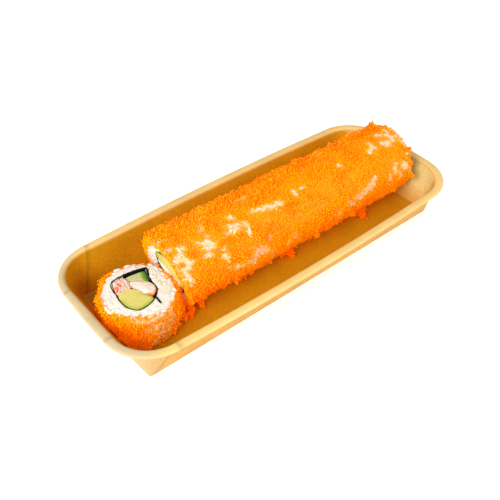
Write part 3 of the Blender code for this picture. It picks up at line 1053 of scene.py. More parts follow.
@dataclass
class Food:
    """A length of the roll with its section, between two cuts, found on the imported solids."""

    part: str
    along: Vector
    up: Vector
    side: Vector
    first_centre: Vector
    last_centre: Vector
    radii: tuple[float, float]
    patches: Sequence[tuple[float, ...]]
    hidden_patches: int
    seed: int
    lone_eggs: float
    spills: tuple[Spill, Spill]
    shown_cuts: tuple[bool, bool]
    reach: float = 34 * MM
    lowest: float = 1.32 * MM
    coat_depth: float = 0.85 * MM
    hidden_degrees: tuple[float, float] = (130, 320)
    hidden_sizes: tuple[float, float] = (0.8, 2.6)
    hidden_widths: tuple[float, float] = (0.35, 0.7)
    ragged: tuple[tuple[float, float, float], ...] = ((0.62, 1.3 * MM, 3.0), (0.45, 3.4 * MM, 7.0))

    def __post_init__(self) -> None:
        """Reads the solids, their skin for rays and the planes of both cuts, and lays the patches."""
        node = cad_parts[self.part + "_rice"]
        corners = [vert.co.copy() for vert in node.data.vertices]
        self.skin = BVHTree.FromPolygons(corners, [face.vertices[:] for face in node.data.polygons])
        self.cuts = (self.cut_plane(-self.along), self.cut_plane(self.along))
        self.length = (self.last_centre - self.first_centre).length
        self.mean_radius = sum(self.radii) / 2
        self.all_patches = [Patch(*row) for row in self.patches]
        draw = random.Random(self.seed)
        middle = self.first_centre.lerp(self.last_centre, 0.5) @ self.along
        for _ in range(self.hidden_patches):
            along = (middle + draw.uniform(-self.length / 2, self.length / 2)) / MM
            size = draw.uniform(*self.hidden_sizes)
            width = size * draw.uniform(*self.hidden_widths)
            degrees = draw.uniform(*self.hidden_degrees)
            self.all_patches.append(Patch(along, degrees, size, width, draw.uniform(0, 180)))

    def cut_plane(self, facing: Vector) -> tuple[Vector, Vector]:
        """The plane of one cut.

        Args:
            facing: The side that the cut faces.

        Returns:
            A point and the normal, from the seaweed's faces there.
        """
        point, normal, total = Vector(), Vector(), 0.0
        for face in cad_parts[self.part + "_nori"].data.polygons:
            if face.normal @ facing > 0.9:
                point += face.center * face.area
                normal += face.normal * face.area
                total += face.area
        return point / total, normal.normalized()

    def slide(self, place: Vector, share: float) -> Vector:
        """Moves a place along the food.

        Args:
            place: The place.
            share: The share of the way between the cuts that it moves to.

        Returns:
            The moved place.
        """
        first, last = (
            place + self.along * ((point - place) @ normal / (self.along @ normal))
            for point, normal in self.cuts
        )
        return first.lerp(last, share)

    def centre(self, share: float) -> Vector:
        """The centre line's point."""
        return self.first_centre.lerp(self.last_centre, share)

    def out(self, angle: float) -> Vector:
        """The direction away from the centre line at this angle in radians."""
        return self.up * math.cos(angle) + self.side * math.sin(angle)

    def angle(self, offset: Vector) -> float:
        """The angle in radians at which an offset leaves the centre line."""
        return math.atan2(offset @ self.side, offset @ self.up)

    def radius(self, share: float) -> float:
        """The plain round form's radius."""
        return lerp(*self.radii, share)

    def spot(self, share: float, angle: float) -> tuple[Vector, float]:
        """The coat's surface.

        Args:
            share: The share of the way between the cuts.
            angle: The angle in radians.

        Returns:
            The point, and how far it stands off the plain round form.
        """
        out = self.out(angle)
        edge = self.centre(share) + out * self.radius(share)
        inner = min(max(share, 0.02), 0.98)
        core = self.slide(edge, inner)
        core -= out * (core - self.centre(inner)).dot(out)
        hit = self.skin.ray_cast(core + out * self.reach, -out, self.reach)[0]
        if hit is None:
            return self.slide(edge, share), 0.0
        far = (hit - core).length
        return self.slide(core + out * far, share), far - self.radius(share)

    def bare(self, share: float, angle: float, place: Vector) -> float:
        """How bare the rice is at a point of the coat.

        Args:
            share: The share of the way between the cuts.
            angle: The angle in radians.
            place: The point itself.

        Returns:
            A number above 0 inside a patch's ragged edge.
        """
        along, degrees, radius = place @ self.along / MM, math.degrees(angle), self.radius(share) / MM
        depth = max(patch.depth(along, degrees, radius) for patch in self.all_patches)
        if depth < -PATCH_REACH:
            return -PATCH_REACH
        return depth + sum(size * waves(place, length, seed) for size, length, seed in self.ragged)

    def section_loop(self, node_name: str, share: float, inner: bool = False) -> Ring:
        """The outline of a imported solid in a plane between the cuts.

        Args:
            node_name: The solid.
            share: Where the plane lies between the cuts.
            inner: Whether the hole's outline is wanted.

        Returns:
            The loop's points in order.
        """
        bm = bmesh.new()
        bm.from_mesh(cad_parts[node_name].data)
        bmesh.ops.remove_doubles(bm, verts=bm.verts, dist=MERGE)
        (first, backward), (last, forward) = self.cuts
        point, normal = first.lerp(last, share), (-backward).lerp(forward, share).normalized()
        parts = bm.verts[:] + bm.edges[:] + bm.faces[:]
        cut = bmesh.ops.bisect_plane(bm, geom=parts, plane_co=point, plane_no=normal, dist=MERGE / 10)
        edges = {part for part in cut["geom_cut"] if isinstance(part, bmesh.types.BMEdge)}
        loops = []
        while edges:
            chain = list(edges.pop().verts)
            while following := [edge for edge in chain[-1].link_edges if edge in edges]:
                edges.remove(following[0])
                chain.append(following[0].other_vert(chain[-1]))
            if len(chain) > 6:
                loops.append([vert.co.copy() for vert in chain[:-1]])
        bm.free()
        loops.sort(key=lambda loop: sum((loop[i] - loop[i - 1]).length for i in range(len(loop))))
        return loops[0] if inner else loops[-1]

    def evened(self, loop: Ring, count: int, smoothing: int = 2) -> Ring:
        """Reads a loop at even steps, turning the way of the angle from angle 0 on.

        Args:
            loop: The loop.
            count: How many points are read.
            smoothing: How many times the corners are eased.

        Returns:
            The new loop.
        """
        middle = middle_of(loop)
        angles = [self.angle(point - middle) for point in loop]
        if sum(folded(angles[i] - angles[i - 1]) for i in range(len(loop))) < 0:
            loop, angles = loop[::-1], angles[::-1]
        start = min(range(len(loop)), key=lambda i: abs(angles[i]))
        loop = loop[start:] + loop[:start]
        lengths = [(loop[(i + 1) % len(loop)] - loop[i]).length for i in range(len(loop))]
        total, points, index, passed = sum(lengths), [], 0, 0.0
        for step in range(count):
            goal = total * step / count
            while passed + lengths[index] < goal:
                passed += lengths[index]
                index += 1
            share = (goal - passed) / max(lengths[index], MERGE)
            points.append(loop[index].lerp(loop[(index + 1) % len(loop)], share))
        for _ in range(smoothing):
            points = [
                points[i] * 0.5 + (points[i - 1] + points[(i + 1) % count]) * 0.25 for i in range(count)
            ]
        return points


class Kind(Enum):
    """The kinds of egg in the coat, with their share of it and their two shades."""

    GOLDEN = ("golden_roe", 0.435, (1.0, 0.325, 0.0004), (1.0, 0.41, 0.001))
    LIGHT = ("light_roe", 0.18, (1.0, 0.27, 0.0003), (1.0, 0.33, 0.0005))
    ORANGE = ("orange_roe", 0.205, (1.0, 0.22, 0.0003), (1.0, 0.27, 0.0004))
    DEEP = ("deep_roe", 0.18, (1.0, 0.12, 0.0002), (1.0, 0.19, 0.0003))

    def __init__(self, piece: str, share: float, dark: Colour, light: Colour) -> None:
        """Names the kind's fields.

        Args:
            piece: The name of the kind's piece.
            share: Its share of the eggs.
            dark: Its darkest shade.
            light: Its lightest shade.
        """
        self.piece = piece
        self.share = share
        self.dark = dark
        self.light = light


# Clumps of roe that lie at the foot of the roll: start, tip, half width and count, in millimetres
FLOOR_CLUMPS = (
    ((61.5, -9.5, 3.6), (61.5, -15.5, 1.6), 3.2, 130),
    ((65.5, -9.5, 3.0), (66.5, -12.0, 1.6), 1.6, 30),
    ((7.5, -8.5, 4.0), (8.0, -14.0, 1.6), 3.6, 150),
    ((3.5, -8.5, 3.6), (3.0, -11.0, 1.6), 2.0, 40),
    ((-50.5, -10.0, 3.4), (-51.5, -13.6, 1.6), 2.4, 60),
    ((-57.5, -12.0, 3.6), (-60.0, -14.5, 1.4), 2.6, 90),
    ((-62.0, -12.5, 2.4), (-63.5, -15.5, 1.4), 1.6, 40),
    ((-23.0, -9.5, 4.0), (-22.5, -11.5, 2.4), 1.8, 30),
    ((28.0, -9.0, 4.0), (28.5, -11.0, 2.4), 1.6, 24),
)
# Sprigs on the roll: millimetres along X, degrees, length and half width in millimetres
SPRIGS = (
    (91.5, -37, 3.8, 1.7), (92.3, -8, 2.0, 1.4), (92.8, 47, 4.0, 1.6), (92.2, 92, 3.8, 1.8),
    (92.6, 70, 1.8, 1.2), (61.0, -45, 2.2, 2.0), (35.0, -45, 2.2, 2.4), (10.0, -48, 1.8, 2.2),
    (-29.0, -45, 2.0, 2.2), (-52.0, -40, 1.6, 2.0), (-8.0, -42, 1.6, 1.6), (78.0, -40, 1.6, 1.8),
    (47.5, 112, 2.0, 1.8), (80.0, 108, 1.8, 1.8), (20.0, 112, 2.0, 2.0), (-35.0, 112, 2.2, 2.2),
)
# Single eggs on the back wall, on the rim and on the slice's face, in millimetres
STRAY_EGGS = (
    (-46.6, 40.6, 20.4),
    (87.3, 40.2, 22.7),
    (82.6, 32.6, 20.0),
    (-64.7, -1.7, 22.7),
    (-65.0, -3.5, 22.7),
)


@dataclass
class RoeCoat:
    """The eggs that cover the rolls, in one piece for each kind."""

    egg_radius: float = 0.5 * MM
    spacing: float = 0.86 * MM
    tries_per_egg: int = 7
    heap_length: float = 6.5 * MM
    heap_levels: tuple[float, ...] = (0.16, 0.42, 0.68)
    heap_step: float = 0.66 * MM
    smooth_degrees: float = 44.0
    calm_reach: float = 42.0
    wild_rise: float = 38.0
    low_degrees: tuple[float, float] = (84.0, 118.0)
    flush_margin: float = 0.75
    sprig_height: float = 1.35 * MM
    depths: tuple[float, float] = (0.2, 0.46)
    loose_rises: tuple[float, float] = (0.6, 1.2)
    unevenness: float = 0.15
    stray_reach: float = 0.3 * MM
    mixing: float = 0.46
    loose_share: float = 0.035
    shade_start: float = 66 * MM
    shade_length: float = 24 * MM
    shade_height: float = 19 * MM
    spill_width: float = 6 * MM
    spill_lift: float = 0.42 * MM
    edge_run: float = 1.1 * MM
    edge_drop: float = 0.7
    spill_tries: int = 6000
    seed: int = 2203
    kinds: dict[Kind, Scatter] = field(default_factory=lambda: {kind: Scatter() for kind in Kind})

    def __post_init__(self) -> None:
        """Starts the coat's random source."""
        self.draw = random.Random(self.seed)

    def uneven(self) -> float:
        """A small random step up or down, in metres."""
        return self.draw.uniform(-self.unevenness, self.unevenness) * MM

    def egg(self, place: Vector, lowest: float, tone: float = 0.0) -> None:
        """Adds one egg.

        Args:
            place: Its centre.
            lowest: The lowest that its centre may lie.
            tone: Above 0 for a brighter egg, below 0 for a deeper one.
        """
        place = place.copy()
        place.z = max(place.z, lowest)
        pick = 0.5 + (self.draw.random() - 0.5) * self.mixing - 0.3 * tone
        for kind in Kind:
            pick -= kind.share
            if pick < 0 or kind is Kind.DEEP:
                break
        size = self.egg_radius * self.draw.uniform(0.84, 1.12)
        self.kinds[kind].add(place, any_turn(self.draw) * size, self.draw.random())

    def tone(self, place: Vector, bare: float) -> float:
        """How bright the coat is at a place.

        Args:
            place: The place.
            bare: How bare the rice is there.

        Returns:
            The eggs' tone: brighter round the bare patches, deeper in the slice's shaded corner.
        """
        near_patch = max(0.0, PATCH_REACH + bare) * 0.5
        shaded = clamped((-place.x - self.shade_start) / self.shade_length)
        shaded *= clamped(1 - place.z / self.shade_height)
        vein = max(0.0, 1 - abs(waves(place, 4.2 * MM, 21.0)) / 0.10) * 1.1
        tone = waves(place, 13 * MM, 5.0) + 0.6 * waves(place, 4 * MM, 1.0) + near_patch + vein
        return tone - 2.4 * shaded

    def looseness(self, food: Food, angle: float) -> float:
        """How loosely the coat lies.

        Args:
            food: The length of roll.
            angle: The angle in radians.

        Returns:
            A number from 0, where the coat was patted flat, to 1 on the roll's far sides.
        """
        if food.part == "slice":
            return 0.35
        off = abs(folded(math.degrees(angle) - self.smooth_degrees, 180))
        return clamped((off - self.calm_reach) / self.wild_rise)

    def cover(self, food: Food) -> None:
        """Lays the coat on one length of roll and over the edges of its cuts.

        Args:
            food: The length of roll.
        """
        draw = self.draw
        width = math.tau * food.mean_radius
        tries = int(food.length * width / self.spacing**2 * 0.75 * self.tries_per_egg)
        for run, turn in darts(draw, food.length, width, self.spacing, tries):
            share, angle = run / food.length, turn / food.mean_radius
            place, height = food.spot(share, angle)
            out = food.out(angle)
            place -= out * max(0.0, height - self.sprig_height)
            bare = food.bare(share, angle, place)
            loose = self.looseness(food, angle)
            tone = self.tone(place, bare) - 0.35 * loose
            degrees = math.degrees(angle)
            first, last = (spill.reach(degrees, place) for spill in food.spills)
            if first + run < 0 or last + food.length - run < 0:
                continue
            if bare > 0:
                if draw.random() < food.lone_eggs:
                    self.egg(place - out * 0.35 * MM, food.lowest, tone)
                continue
            low = eased(degrees, *self.low_degrees) if food.part == "roll" and degrees < 180 else 0.0
            # painted shade: eggs low on the roll's front, where shade falls, get a deeper tone
            tone -= 0.5 * low
            self.egg(place - out * (draw.uniform(*self.depths) * MM), food.lowest, tone)
            if draw.random() < self.loose_share * (0.3 + loose) * (1 - low):
                self.egg(place + out * draw.uniform(*self.loose_rises) * MM, food.lowest, tone)
            heap = waves(place, self.heap_length, 11.0) + (0.5 + 0.4 * loose) * waves(place, 2.1 * MM, 4.0)
            heap += 0.4 * loose - 0.7 * low
            for level, least in enumerate(self.heap_levels):
                if heap > least and bare < -self.flush_margin:
                    rise = (level + 0.4) * self.heap_step + self.uneven()
                    stray = Vector([draw.uniform(-self.stray_reach, self.stray_reach) for _ in range(3)])
                    self.egg(place + out * rise + stray, food.lowest, tone - 0.25 * level)
        for end in (0, 1):
            self.spill(food, end)

    def spill(self, food: Food, end: int) -> None:
        """Lays the eggs that reach over the edge onto a cut.

        Args:
            food: The length of roll.
            end: 0 for its first cut, 1 for its last.
        """
        outward, radius = food.cuts[end][1], food.radius(end)
        strip = darts(self.draw, self.spill_width, math.tau * radius, self.spacing, self.spill_tries)
        for run, turn in strip:
            angle = turn / radius
            out = food.out(angle)
            place = food.spot(float(end), angle)[0] - out * run
            if run > food.spills[end].reach(math.degrees(angle), place):
                continue
            rounded = max(0.0, 1 - run / self.edge_run) ** 2 * self.edge_drop * MM
            lift = self.spill_lift - rounded + self.uneven()
            self.egg(place + outward * lift, food.lowest, self.tone(place, -1.0) - 0.3)

    def strew(self, food: Food) -> None:
        """Adds the sprigs on the long roll, the clumps at its foot and the stray eggs.

        Args:
            food: The long roll.
        """
        length = (food.last_centre.x - food.first_centre.x) / MM
        for along, degrees, reach, width in SPRIGS:
            share = (along - food.first_centre.x / MM) / length
            out = food.out(math.radians(degrees))
            foot = food.slide(food.centre(share) + out * food.radius(share), share)
            tip = foot + out * 0.72 * reach * MM
            self.cluster(foot, tip, width * MM, int(9 * reach * width), food.lowest, -0.6)
        for start, end, width, count in FLOOR_CLUMPS:
            self.cluster(Vector(start) * MM, Vector(end) * MM, width * MM, count, food.lowest, -1.6)
        for place in STRAY_EGGS:
            self.egg(Vector(place) * MM, food.lowest, -0.5)

    def cluster(
        self, start: Vector, end: Vector, width: float, count: int, lowest: float, tone: float
    ) -> None:
        """Heaps eggs along a line, fewer towards its end.

        Args:
            start: Where the heap is thickest.
            end: Its tip.
            width: Its half width at the start.
            count: How many eggs it has.
            lowest: The lowest that an egg's centre may lie.
            tone: Their tone.
        """
        for _ in range(count):
            share = self.draw.random() ** 1.3
            off = Vector([self.draw.gauss(0, 0.5) for _ in range(3)])
            off.length = min(1.0, off.length) * (width * (1 - 0.4 * share))
            self.egg(start.lerp(end, share) + off, lowest, tone)

    def build(self) -> None:
        """Makes the pieces."""
        for kind, scatter in self.kinds.items():
            finish = Roe(dark=kind.dark, light=kind.light)
            add_piece(kind.piece, scatter.mesh(ball(1)), finish, ["roll_rice", "slice_rice"])


@dataclass
class RiceBody:
    """The rice of one length of roll: a tube under the coat, and the grains that show."""

    food: Food
    around: int = 144
    stations: int = 16
    face_rings: int = 14
    edge_round: float = 1.3 * MM
    edge_steps: tuple[tuple[float, float], ...] = ((0.0, 1.0), (0.12, 0.52), (0.4, 0.2), (1.0, 0.0))
    sprig_height: float = 1.3 * MM
    lump: float = 0.34 * MM
    lump_length: float = 2.6 * MM
    fine_lump: float = 0.14 * MM
    overlap: float = 0.16 * MM
    face_rise: float = 0.32 * MM
    base_tint: float = 0.75
    grain_spacing: float = 2.0 * MM
    grain_sizes: Vector = field(default_factory=lambda: Vector((2.2, 1.0, 0.85)) * MM)
    grain_bend: float = 0.25
    face_crowding: float = 0.78
    face_tries: int = 3200
    fringe_width: float = 1.6 * MM
    fringe_drop: float = 0.9
    sunk: float = 0.64 * MM
    patch_sunk: float = 0.86 * MM
    patch_rise: float = 0.5 * MM

    def outer(self, share: float, index: int) -> tuple[Vector, float]:
        """The rice's side under the coat.

        Args:
            share: The share of the way between the cuts.
            index: The column of the tube.

        Returns:
            The point, and how far the coat covers it.
        """
        food = self.food
        angle = math.tau * index / self.around
        place, height = food.spot(share, angle)
        bare = food.bare(share, angle, place)
        out = food.out(angle)
        depth = food.coat_depth + max(0.0, height - self.sprig_height)
        if bare > 0:
            depth -= min(1.0, bare * 3) * self.patch_rise
        place = place - out * depth
        place += out * self.lump * 0.5 * waves(place, self.lump_length, 2.0)
        place.z = max(place.z, food.lowest - 0.2 * MM)
        return place, min(1.0, max(0.5, 0.5 - 0.5 * bare))

    def relief(self, place: Vector) -> float:
        """The lumps of a cut face."""
        return self.lump * waves(place, self.lump_length, 9.0) + self.fine_lump * waves(place, 1.0 * MM, 6.0)

    def build(self) -> None:
        """Makes the rice tube and its grains."""
        food = self.food
        node = food.part + "_nori"
        holes = [
            self.aligned(food.evened(food.section_loop(node, share), 720, 0), share)
            for share in (0.004, 0.996)
        ]
        rounded = self.edge_round / food.length
        edge = [(rounded * run, pull * self.edge_round) for run, pull in self.edge_steps]
        start = edge[-1][0]
        middle = [(start + (1 - 2 * start) * i / self.stations, 0.0) for i in range(1, self.stations)]
        stations = edge + middle + [(1 - share, pull) for share, pull in reversed(edge)]
        rings, covers = [], []
        for share, pull in stations:
            spots = [self.outer(share, index) for index in range(self.around)]
            outs = [food.out(math.tau * index / self.around) for index in range(self.around)]
            rings.append([place - out * pull for (place, _), out in zip(spots, outs)])
            covers.append([cover for _, cover in spots])
        covers[0] = covers[-1] = [0.0] * self.around
        rings, covers = self.with_faces(rings, covers, holes)
        tints = [[self.base_tint] * self.around for _ in rings]
        mesh = meshed(skinned(rings, {"coated": covers, "tint": tints}))
        add_piece(food.part + "_rice_core", mesh, Rice(), [food.part + "_rice"])
        self.build_grains(holes)

    def aligned(self, loop: Ring, share: float) -> Ring:
        """Reads a hole's loop at the tube's own angles.

        Args:
            loop: The loop.
            share: Where it lies between the cuts.

        Returns:
            The nearest of the loop's points to the centre line at each angle.
        """
        food = self.food
        centre = food.slide(food.centre(share), share)
        angles = [food.angle(point - centre) % math.tau for point in loop]
        ring = []
        for index in range(self.around):
            goal = math.tau * index / self.around
            nearest = sorted(range(len(loop)), key=lambda i: abs(folded(angles[i] - goal)))[:6]
            ring.append(loop[min(nearest, key=lambda i: (loop[i] - centre).length)].copy())
        return ring

    def with_faces(
        self, rings: list[Ring], covers: list[list[float]], holes: list[Ring]
    ) -> tuple[list[Ring], list[list[float]]]:
        """Adds the two cut faces and the hole to the side's rings.

        Args:
            rings: The side's rings from the first cut to the last.
            covers: The coat's cover at their points.
            holes: The hole's loop at both cuts.

        Returns:
            The rings and covers of the whole closed skin.
        """
        faces = []
        for edge, hole, (_, normal) in zip((rings[0], rings[-1]), holes, self.food.cuts):
            rows = []
            for step in range(1, self.face_rings + 1):
                share = step / self.face_rings
                ring = []
                for outer, inner in zip(edge, hole):
                    over = self.overlap * (1 + waves(inner, 1.8 * MM, 4.0)) * share
                    place = outer.lerp(inner, share) - (outer - inner).normalized() * over
                    lift = self.relief(place) * min(1.0, 4 * (1 - share) + 0.3)
                    ring.append(place + normal * (lift + self.face_rise * min(1.0, 3 * share)))
                rows.append(ring)
            faces.append(rows)
        wall = [between(holes[1], holes[0], share) for share in (0.25, 0.5, 0.75)]
        closed = rings + faces[1] + wall + faces[0][::-1] + [rings[0]]
        plain = [[0.0] * self.around] * (len(closed) - len(rings) - 1)
        return closed, covers + plain + [covers[0]]

    def build_grains(self, holes: list[Ring]) -> None:
        """Lays single grains where the rice shows: in the bare patches and on the cut faces.

        Args:
            holes: The seaweed's outline at both cuts.
        """
        food = self.food
        draw = random.Random(food.seed + 1)
        scatter = Scatter()
        width = math.tau * food.mean_radius
        tries = int(food.length * width / self.grain_spacing**2 * 8)
        sunk = food.coat_depth - self.patch_rise + self.patch_sunk
        for run, turn in darts(draw, food.length, width, self.grain_spacing, tries):
            share, angle = run / food.length, turn / food.mean_radius
            place, height = food.spot(share, angle)
            if food.bare(share, angle, place) < -0.3 or height > self.sprig_height:
                continue
            out = food.out(angle)
            place -= out * sunk
            place.z = max(place.z, food.lowest + 0.4 * MM)
            yaw = draw.uniform(0, math.tau)
            sizes = self.grain_sizes * draw.uniform(0.82, 1.12)
            axes = turned(facing(out), yaw, draw.uniform(-0.15, 0.15), sizes)
            scatter.add(place, axes, draw.random())
        self.add_grains("_patch_grains", scatter, StainedRice())
        scatter = Scatter()
        for end in (0, 1):
            if food.shown_cuts[end]:
                self.lay_face(scatter, draw, end, holes[end])
        self.add_grains("_rice_grains", scatter, Rice())

    def add_grains(self, ending: str, scatter: Scatter, finish: Finish) -> None:
        """Makes one piece of grains, with this ending to its name."""
        part = self.food.part
        add_piece(part + ending, scatter.mesh(bent_grain(self.grain_bend)), finish, [part + "_rice"])

    def lay_face(self, scatter: Scatter, draw: random.Random, end: int, hole: Ring) -> None:
        """Lays the grains of one cut face between the seaweed and the coat.

        Args:
            scatter: The grains.
            draw: The random source.
            end: 0 for the first cut, 1 for the last.
            hole: The seaweed's outline.
        """
        food = self.food
        outward, reach = food.cuts[end][1], food.radius(end)
        centre = food.slide(food.centre(end), end)
        length, breadth, _ = self.grain_sizes
        spacing = self.grain_spacing * self.face_crowding
        for run, turn in darts(draw, 2 * reach, 2 * reach, spacing, self.face_tries):
            offset = food.up * (run - reach) + food.side * (turn - reach)
            angle = food.angle(offset) % math.tau
            place = food.slide(food.centre(end) + offset, end)
            edge, _ = food.spot(float(end), angle)
            inside = (edge - centre).length - (place - centre).length
            index = int(angle / math.tau * self.around) % self.around
            beyond = (place - centre).length - (hole[index] - centre).length
            spilled = food.spills[end].reach(math.degrees(angle), place)
            rim = 0.15 * MM if spilled < -0.4 * MM else breadth * 1.25
            if beyond < breadth * 0.9 or inside < max(rim, spilled - 0.5 * MM):
                continue
            yaw = draw.uniform(0, math.pi)
            if min(beyond, inside) / length < 1:
                yaw = math.pi / 2 + draw.uniform(-0.5, 0.5)
            fringe = max(0.0, 1 - inside / self.fringe_width)
            lift = draw.uniform(-0.2, 0.2) * MM - self.sunk - fringe * self.fringe_drop * MM
            sizes = self.grain_sizes * draw.uniform(0.8, 1.12)
            radial = (place - centre).normalized()
            axes = Matrix((radial, outward.cross(radial), outward)).transposed()
            axes = turned(axes, yaw, draw.uniform(-0.22, 0.22), sizes)
            scatter.add(place + outward * lift, axes, draw.random() * (1 - 0.6 * fringe))


# How the roll's own section lies to the slice's: turned half round, wider, and shifted
ROLL_STRETCH = (1.13, 0.96)
ROLL_SHIFT = (2.6, 4.2)
Section = tuple[float, float]


def section_point(food: Food, place: Vector) -> Vector:
    """A place in the section's own millimetres.

    Args:
        food: The length of roll.
        place: The place in the frame.

    Returns:
        The place as on the slice's face, X right and Y up.
    """
    line = food.last_centre - food.first_centre
    share = clamped((place - food.first_centre) @ line / line.length_squared)
    off = (place - food.centre(share)) / MM
    if food.part == "slice":
        return Vector((off.x, off.y))
    return Vector(((ROLL_SHIFT[0] + off.y) / ROLL_STRETCH[0], (ROLL_SHIFT[1] - off.z) / ROLL_STRETCH[1]))


def near_line(point: Vector, start: Section, end: Section, width: float) -> float:
    """How near a point of the section is to a line.

    Args:
        point: The point.
        start: The line's start.
        end: Its end.
        width: The distance at which the nearness ends, in millimetres.

    Returns:
        1 on the line, falling to 0.
    """
    first, along = Vector(start), Vector(end) - Vector(start)
    share = clamped((point - first) @ along / along.length_squared)
    return max(0.0, 1 - (point - first - along * share).length / width)


def wide_avocado(across: float, up: float) -> Section:
    """On the roll's near cut the avocado reaches over to the seaweed.

    Args:
        across: The point's place across the section, in millimetres.
        up: Its place up the section.

    Returns:
        The moved place.
    """
    right = eased(across, -3.5, 1.0)
    reach = 6.4 * right * eased(up, -9.2, -4.8) * (1 - eased(up, -2.4, 0.5))
    return across + reach, up + 2.2 * right * eased(up, -5.0, -2.5)


def low_crab(across: float, up: float) -> Section:
    """On the roll's near cut the crab stick lies under the avocado."""
    return across, up if up > 0.6 else 0.6 + (up - 0.6) * 0.08


def avocado_rind(point: Vector, depth: float) -> float:
    """Greener within about a millimetre of the round lower rim."""
    lower = clamped((-point.y - 1.0) / 3.0 + max(0.0, -point.x - 6) / 6)
    return max(0.0, 1 - depth / 0.22) * lower * 0.9 + 0.12 * lower


def crab_skin(point: Vector, _: float) -> float:
    """The red skin, thin along the upper edge and strong at the lower right.

    Args:
        point: The place in the section.

    Returns:
        The share of skin there.
    """
    return min(1.0, 1.6 * max(
        near_line(point, (0.2, 7.2), (7.0, 2.6), 0.7) * 0.5,
        near_line(point, (2.0, -4.6), (4.4, -6.6), 1.0),
        near_line(point, (4.4, -6.6), (7.0, -5.0), 1.1),
        near_line(point, (7.0, -5.0), (8.4, -2.2), 0.9),
        near_line(point, (-1.4, 4.2), (1.0, -1.8), 0.5) * 0.35,
    ))


def cucumber_skin(point: Vector, _: float) -> float:
    """The skin at the right side, with the green flesh under it."""
    return near_line(point, (10.1, 8.6), (8.1, 2.2), 4.6) ** 1.15


def unmarked(_: Vector, __: float) -> float:
    """No mark."""
    return 0.0


@dataclass
class Filling:
    """One filling that runs through the rice, with its cut faces finely shaped."""

    food: Food
    name: str
    finish: Finish
    rounding: float = 0.22 * MM
    proud: float = 0.2 * MM
    swell: float = 0.34 * MM
    dome: float = 0.2 * MM
    lump: float = 0.12 * MM
    lump_length: float = 2.2 * MM
    base_tint: float = 0.35
    mark: Callable[[Vector, float], float] = unmarked
    near_shape: Callable[[float, float], Section] | None = None
    around: int = 108
    face_rings: int = 13

    def build(self) -> None:
        """Makes the filling's skin from the solid's own outline and dresses it."""
        food = self.food
        node = food.part + "_" + self.name
        first, last = (food.evened(food.section_loop(node, share), self.around) for share in (0.01, 0.99))
        if self.near_shape:
            first = [self.reshaped(point) for point in first]
        first = [food.slide(point, 0.0) for point in first]
        last = [food.slide(point, 1.0) for point in last]
        near, far = (self.face(loop, normal) for loop, (_, normal) in zip((first, last), food.cuts))
        side = [(between(first, last, share), 0.0) for share in (0.06, 0.5, 0.94)]
        rows = near[::-1] + side + far
        rings = [ring for ring, _ in rows]
        marks = [[self.mark(section_point(food, point), depth) for point in ring] for ring, depth in rows]
        tints = [[self.base_tint] * self.around for _ in rings]
        add_piece(node + "_cut", meshed(skinned(rings, {"mark": marks, "tint": tints})), self.finish, [node])

    def reshaped(self, point: Vector) -> Vector:
        """Moves a point of the near cut's outline as the near shape says.

        Args:
            point: The point.

        Returns:
            The moved point.
        """
        old = section_point(self.food, point)
        across, up = self.near_shape(old.x, old.y)
        off_y = (across - old.x) * ROLL_STRETCH[0] * MM
        off_z = (old.y - up) * ROLL_STRETCH[1] * MM
        return point + Vector((0, off_y, off_z))

    def face(self, loop: Ring, normal: Vector) -> list[tuple[Ring, float]]:
        """The rings of one cut face from its rounded edge to its middle.

        Args:
            loop: The outline at the cut.
            normal: The way the cut faces.

        Returns:
            The rings, with how far each lies inside the outline, from 0 to 1.
        """
        middle = middle_of(loop)
        swept = sum(normal @ (loop[i - 1] - middle).cross(loop[i] - middle) for i in range(len(loop)))
        about = normal if swept > 0 else -normal
        loop = inset(loop, about, -self.swell)
        rows = []
        for degrees in (0, 30, 60, 90):
            angle = math.radians(degrees)
            drop = self.rounding * (1 - math.sin(angle)) - self.proud
            edge = inset(loop, about, self.rounding * (1 - math.cos(angle)))
            edge = [point - normal * drop for point in edge]
            rows.append((edge, 0.02 * degrees / 90))
        middle = middle_of(edge)
        for step in range(1, self.face_rings + 1):
            share = (step / self.face_rings) ** 0.85
            ring = []
            for point in edge:
                place = point.lerp(middle, share)
                lift = self.dome * (1 - (1 - share) ** 2)
                lift += self.lump * waves(place, self.lump_length, 8.0) * min(1.0, 4 * share)
                ring.append(place + normal * lift)
            rows.append((ring, share))
        rows[-1] = ([middle_of(ring)] * len(ring), share)
        return rows


def inset(loop: Ring, normal: Vector, distance: float) -> Ring:
    """Moves a loop inwards in its plane.

    Args:
        loop: The loop, turning anticlockwise about the normal.
        normal: The plane's normal.
        distance: How far it moves.

    Returns:
        The new loop.
    """
    moved = []
    for index, point in enumerate(loop):
        along = loop[(index + 1) % len(loop)] - loop[index - 1]
        moved.append(point + normal.cross(along).normalized() * distance)
    return moved


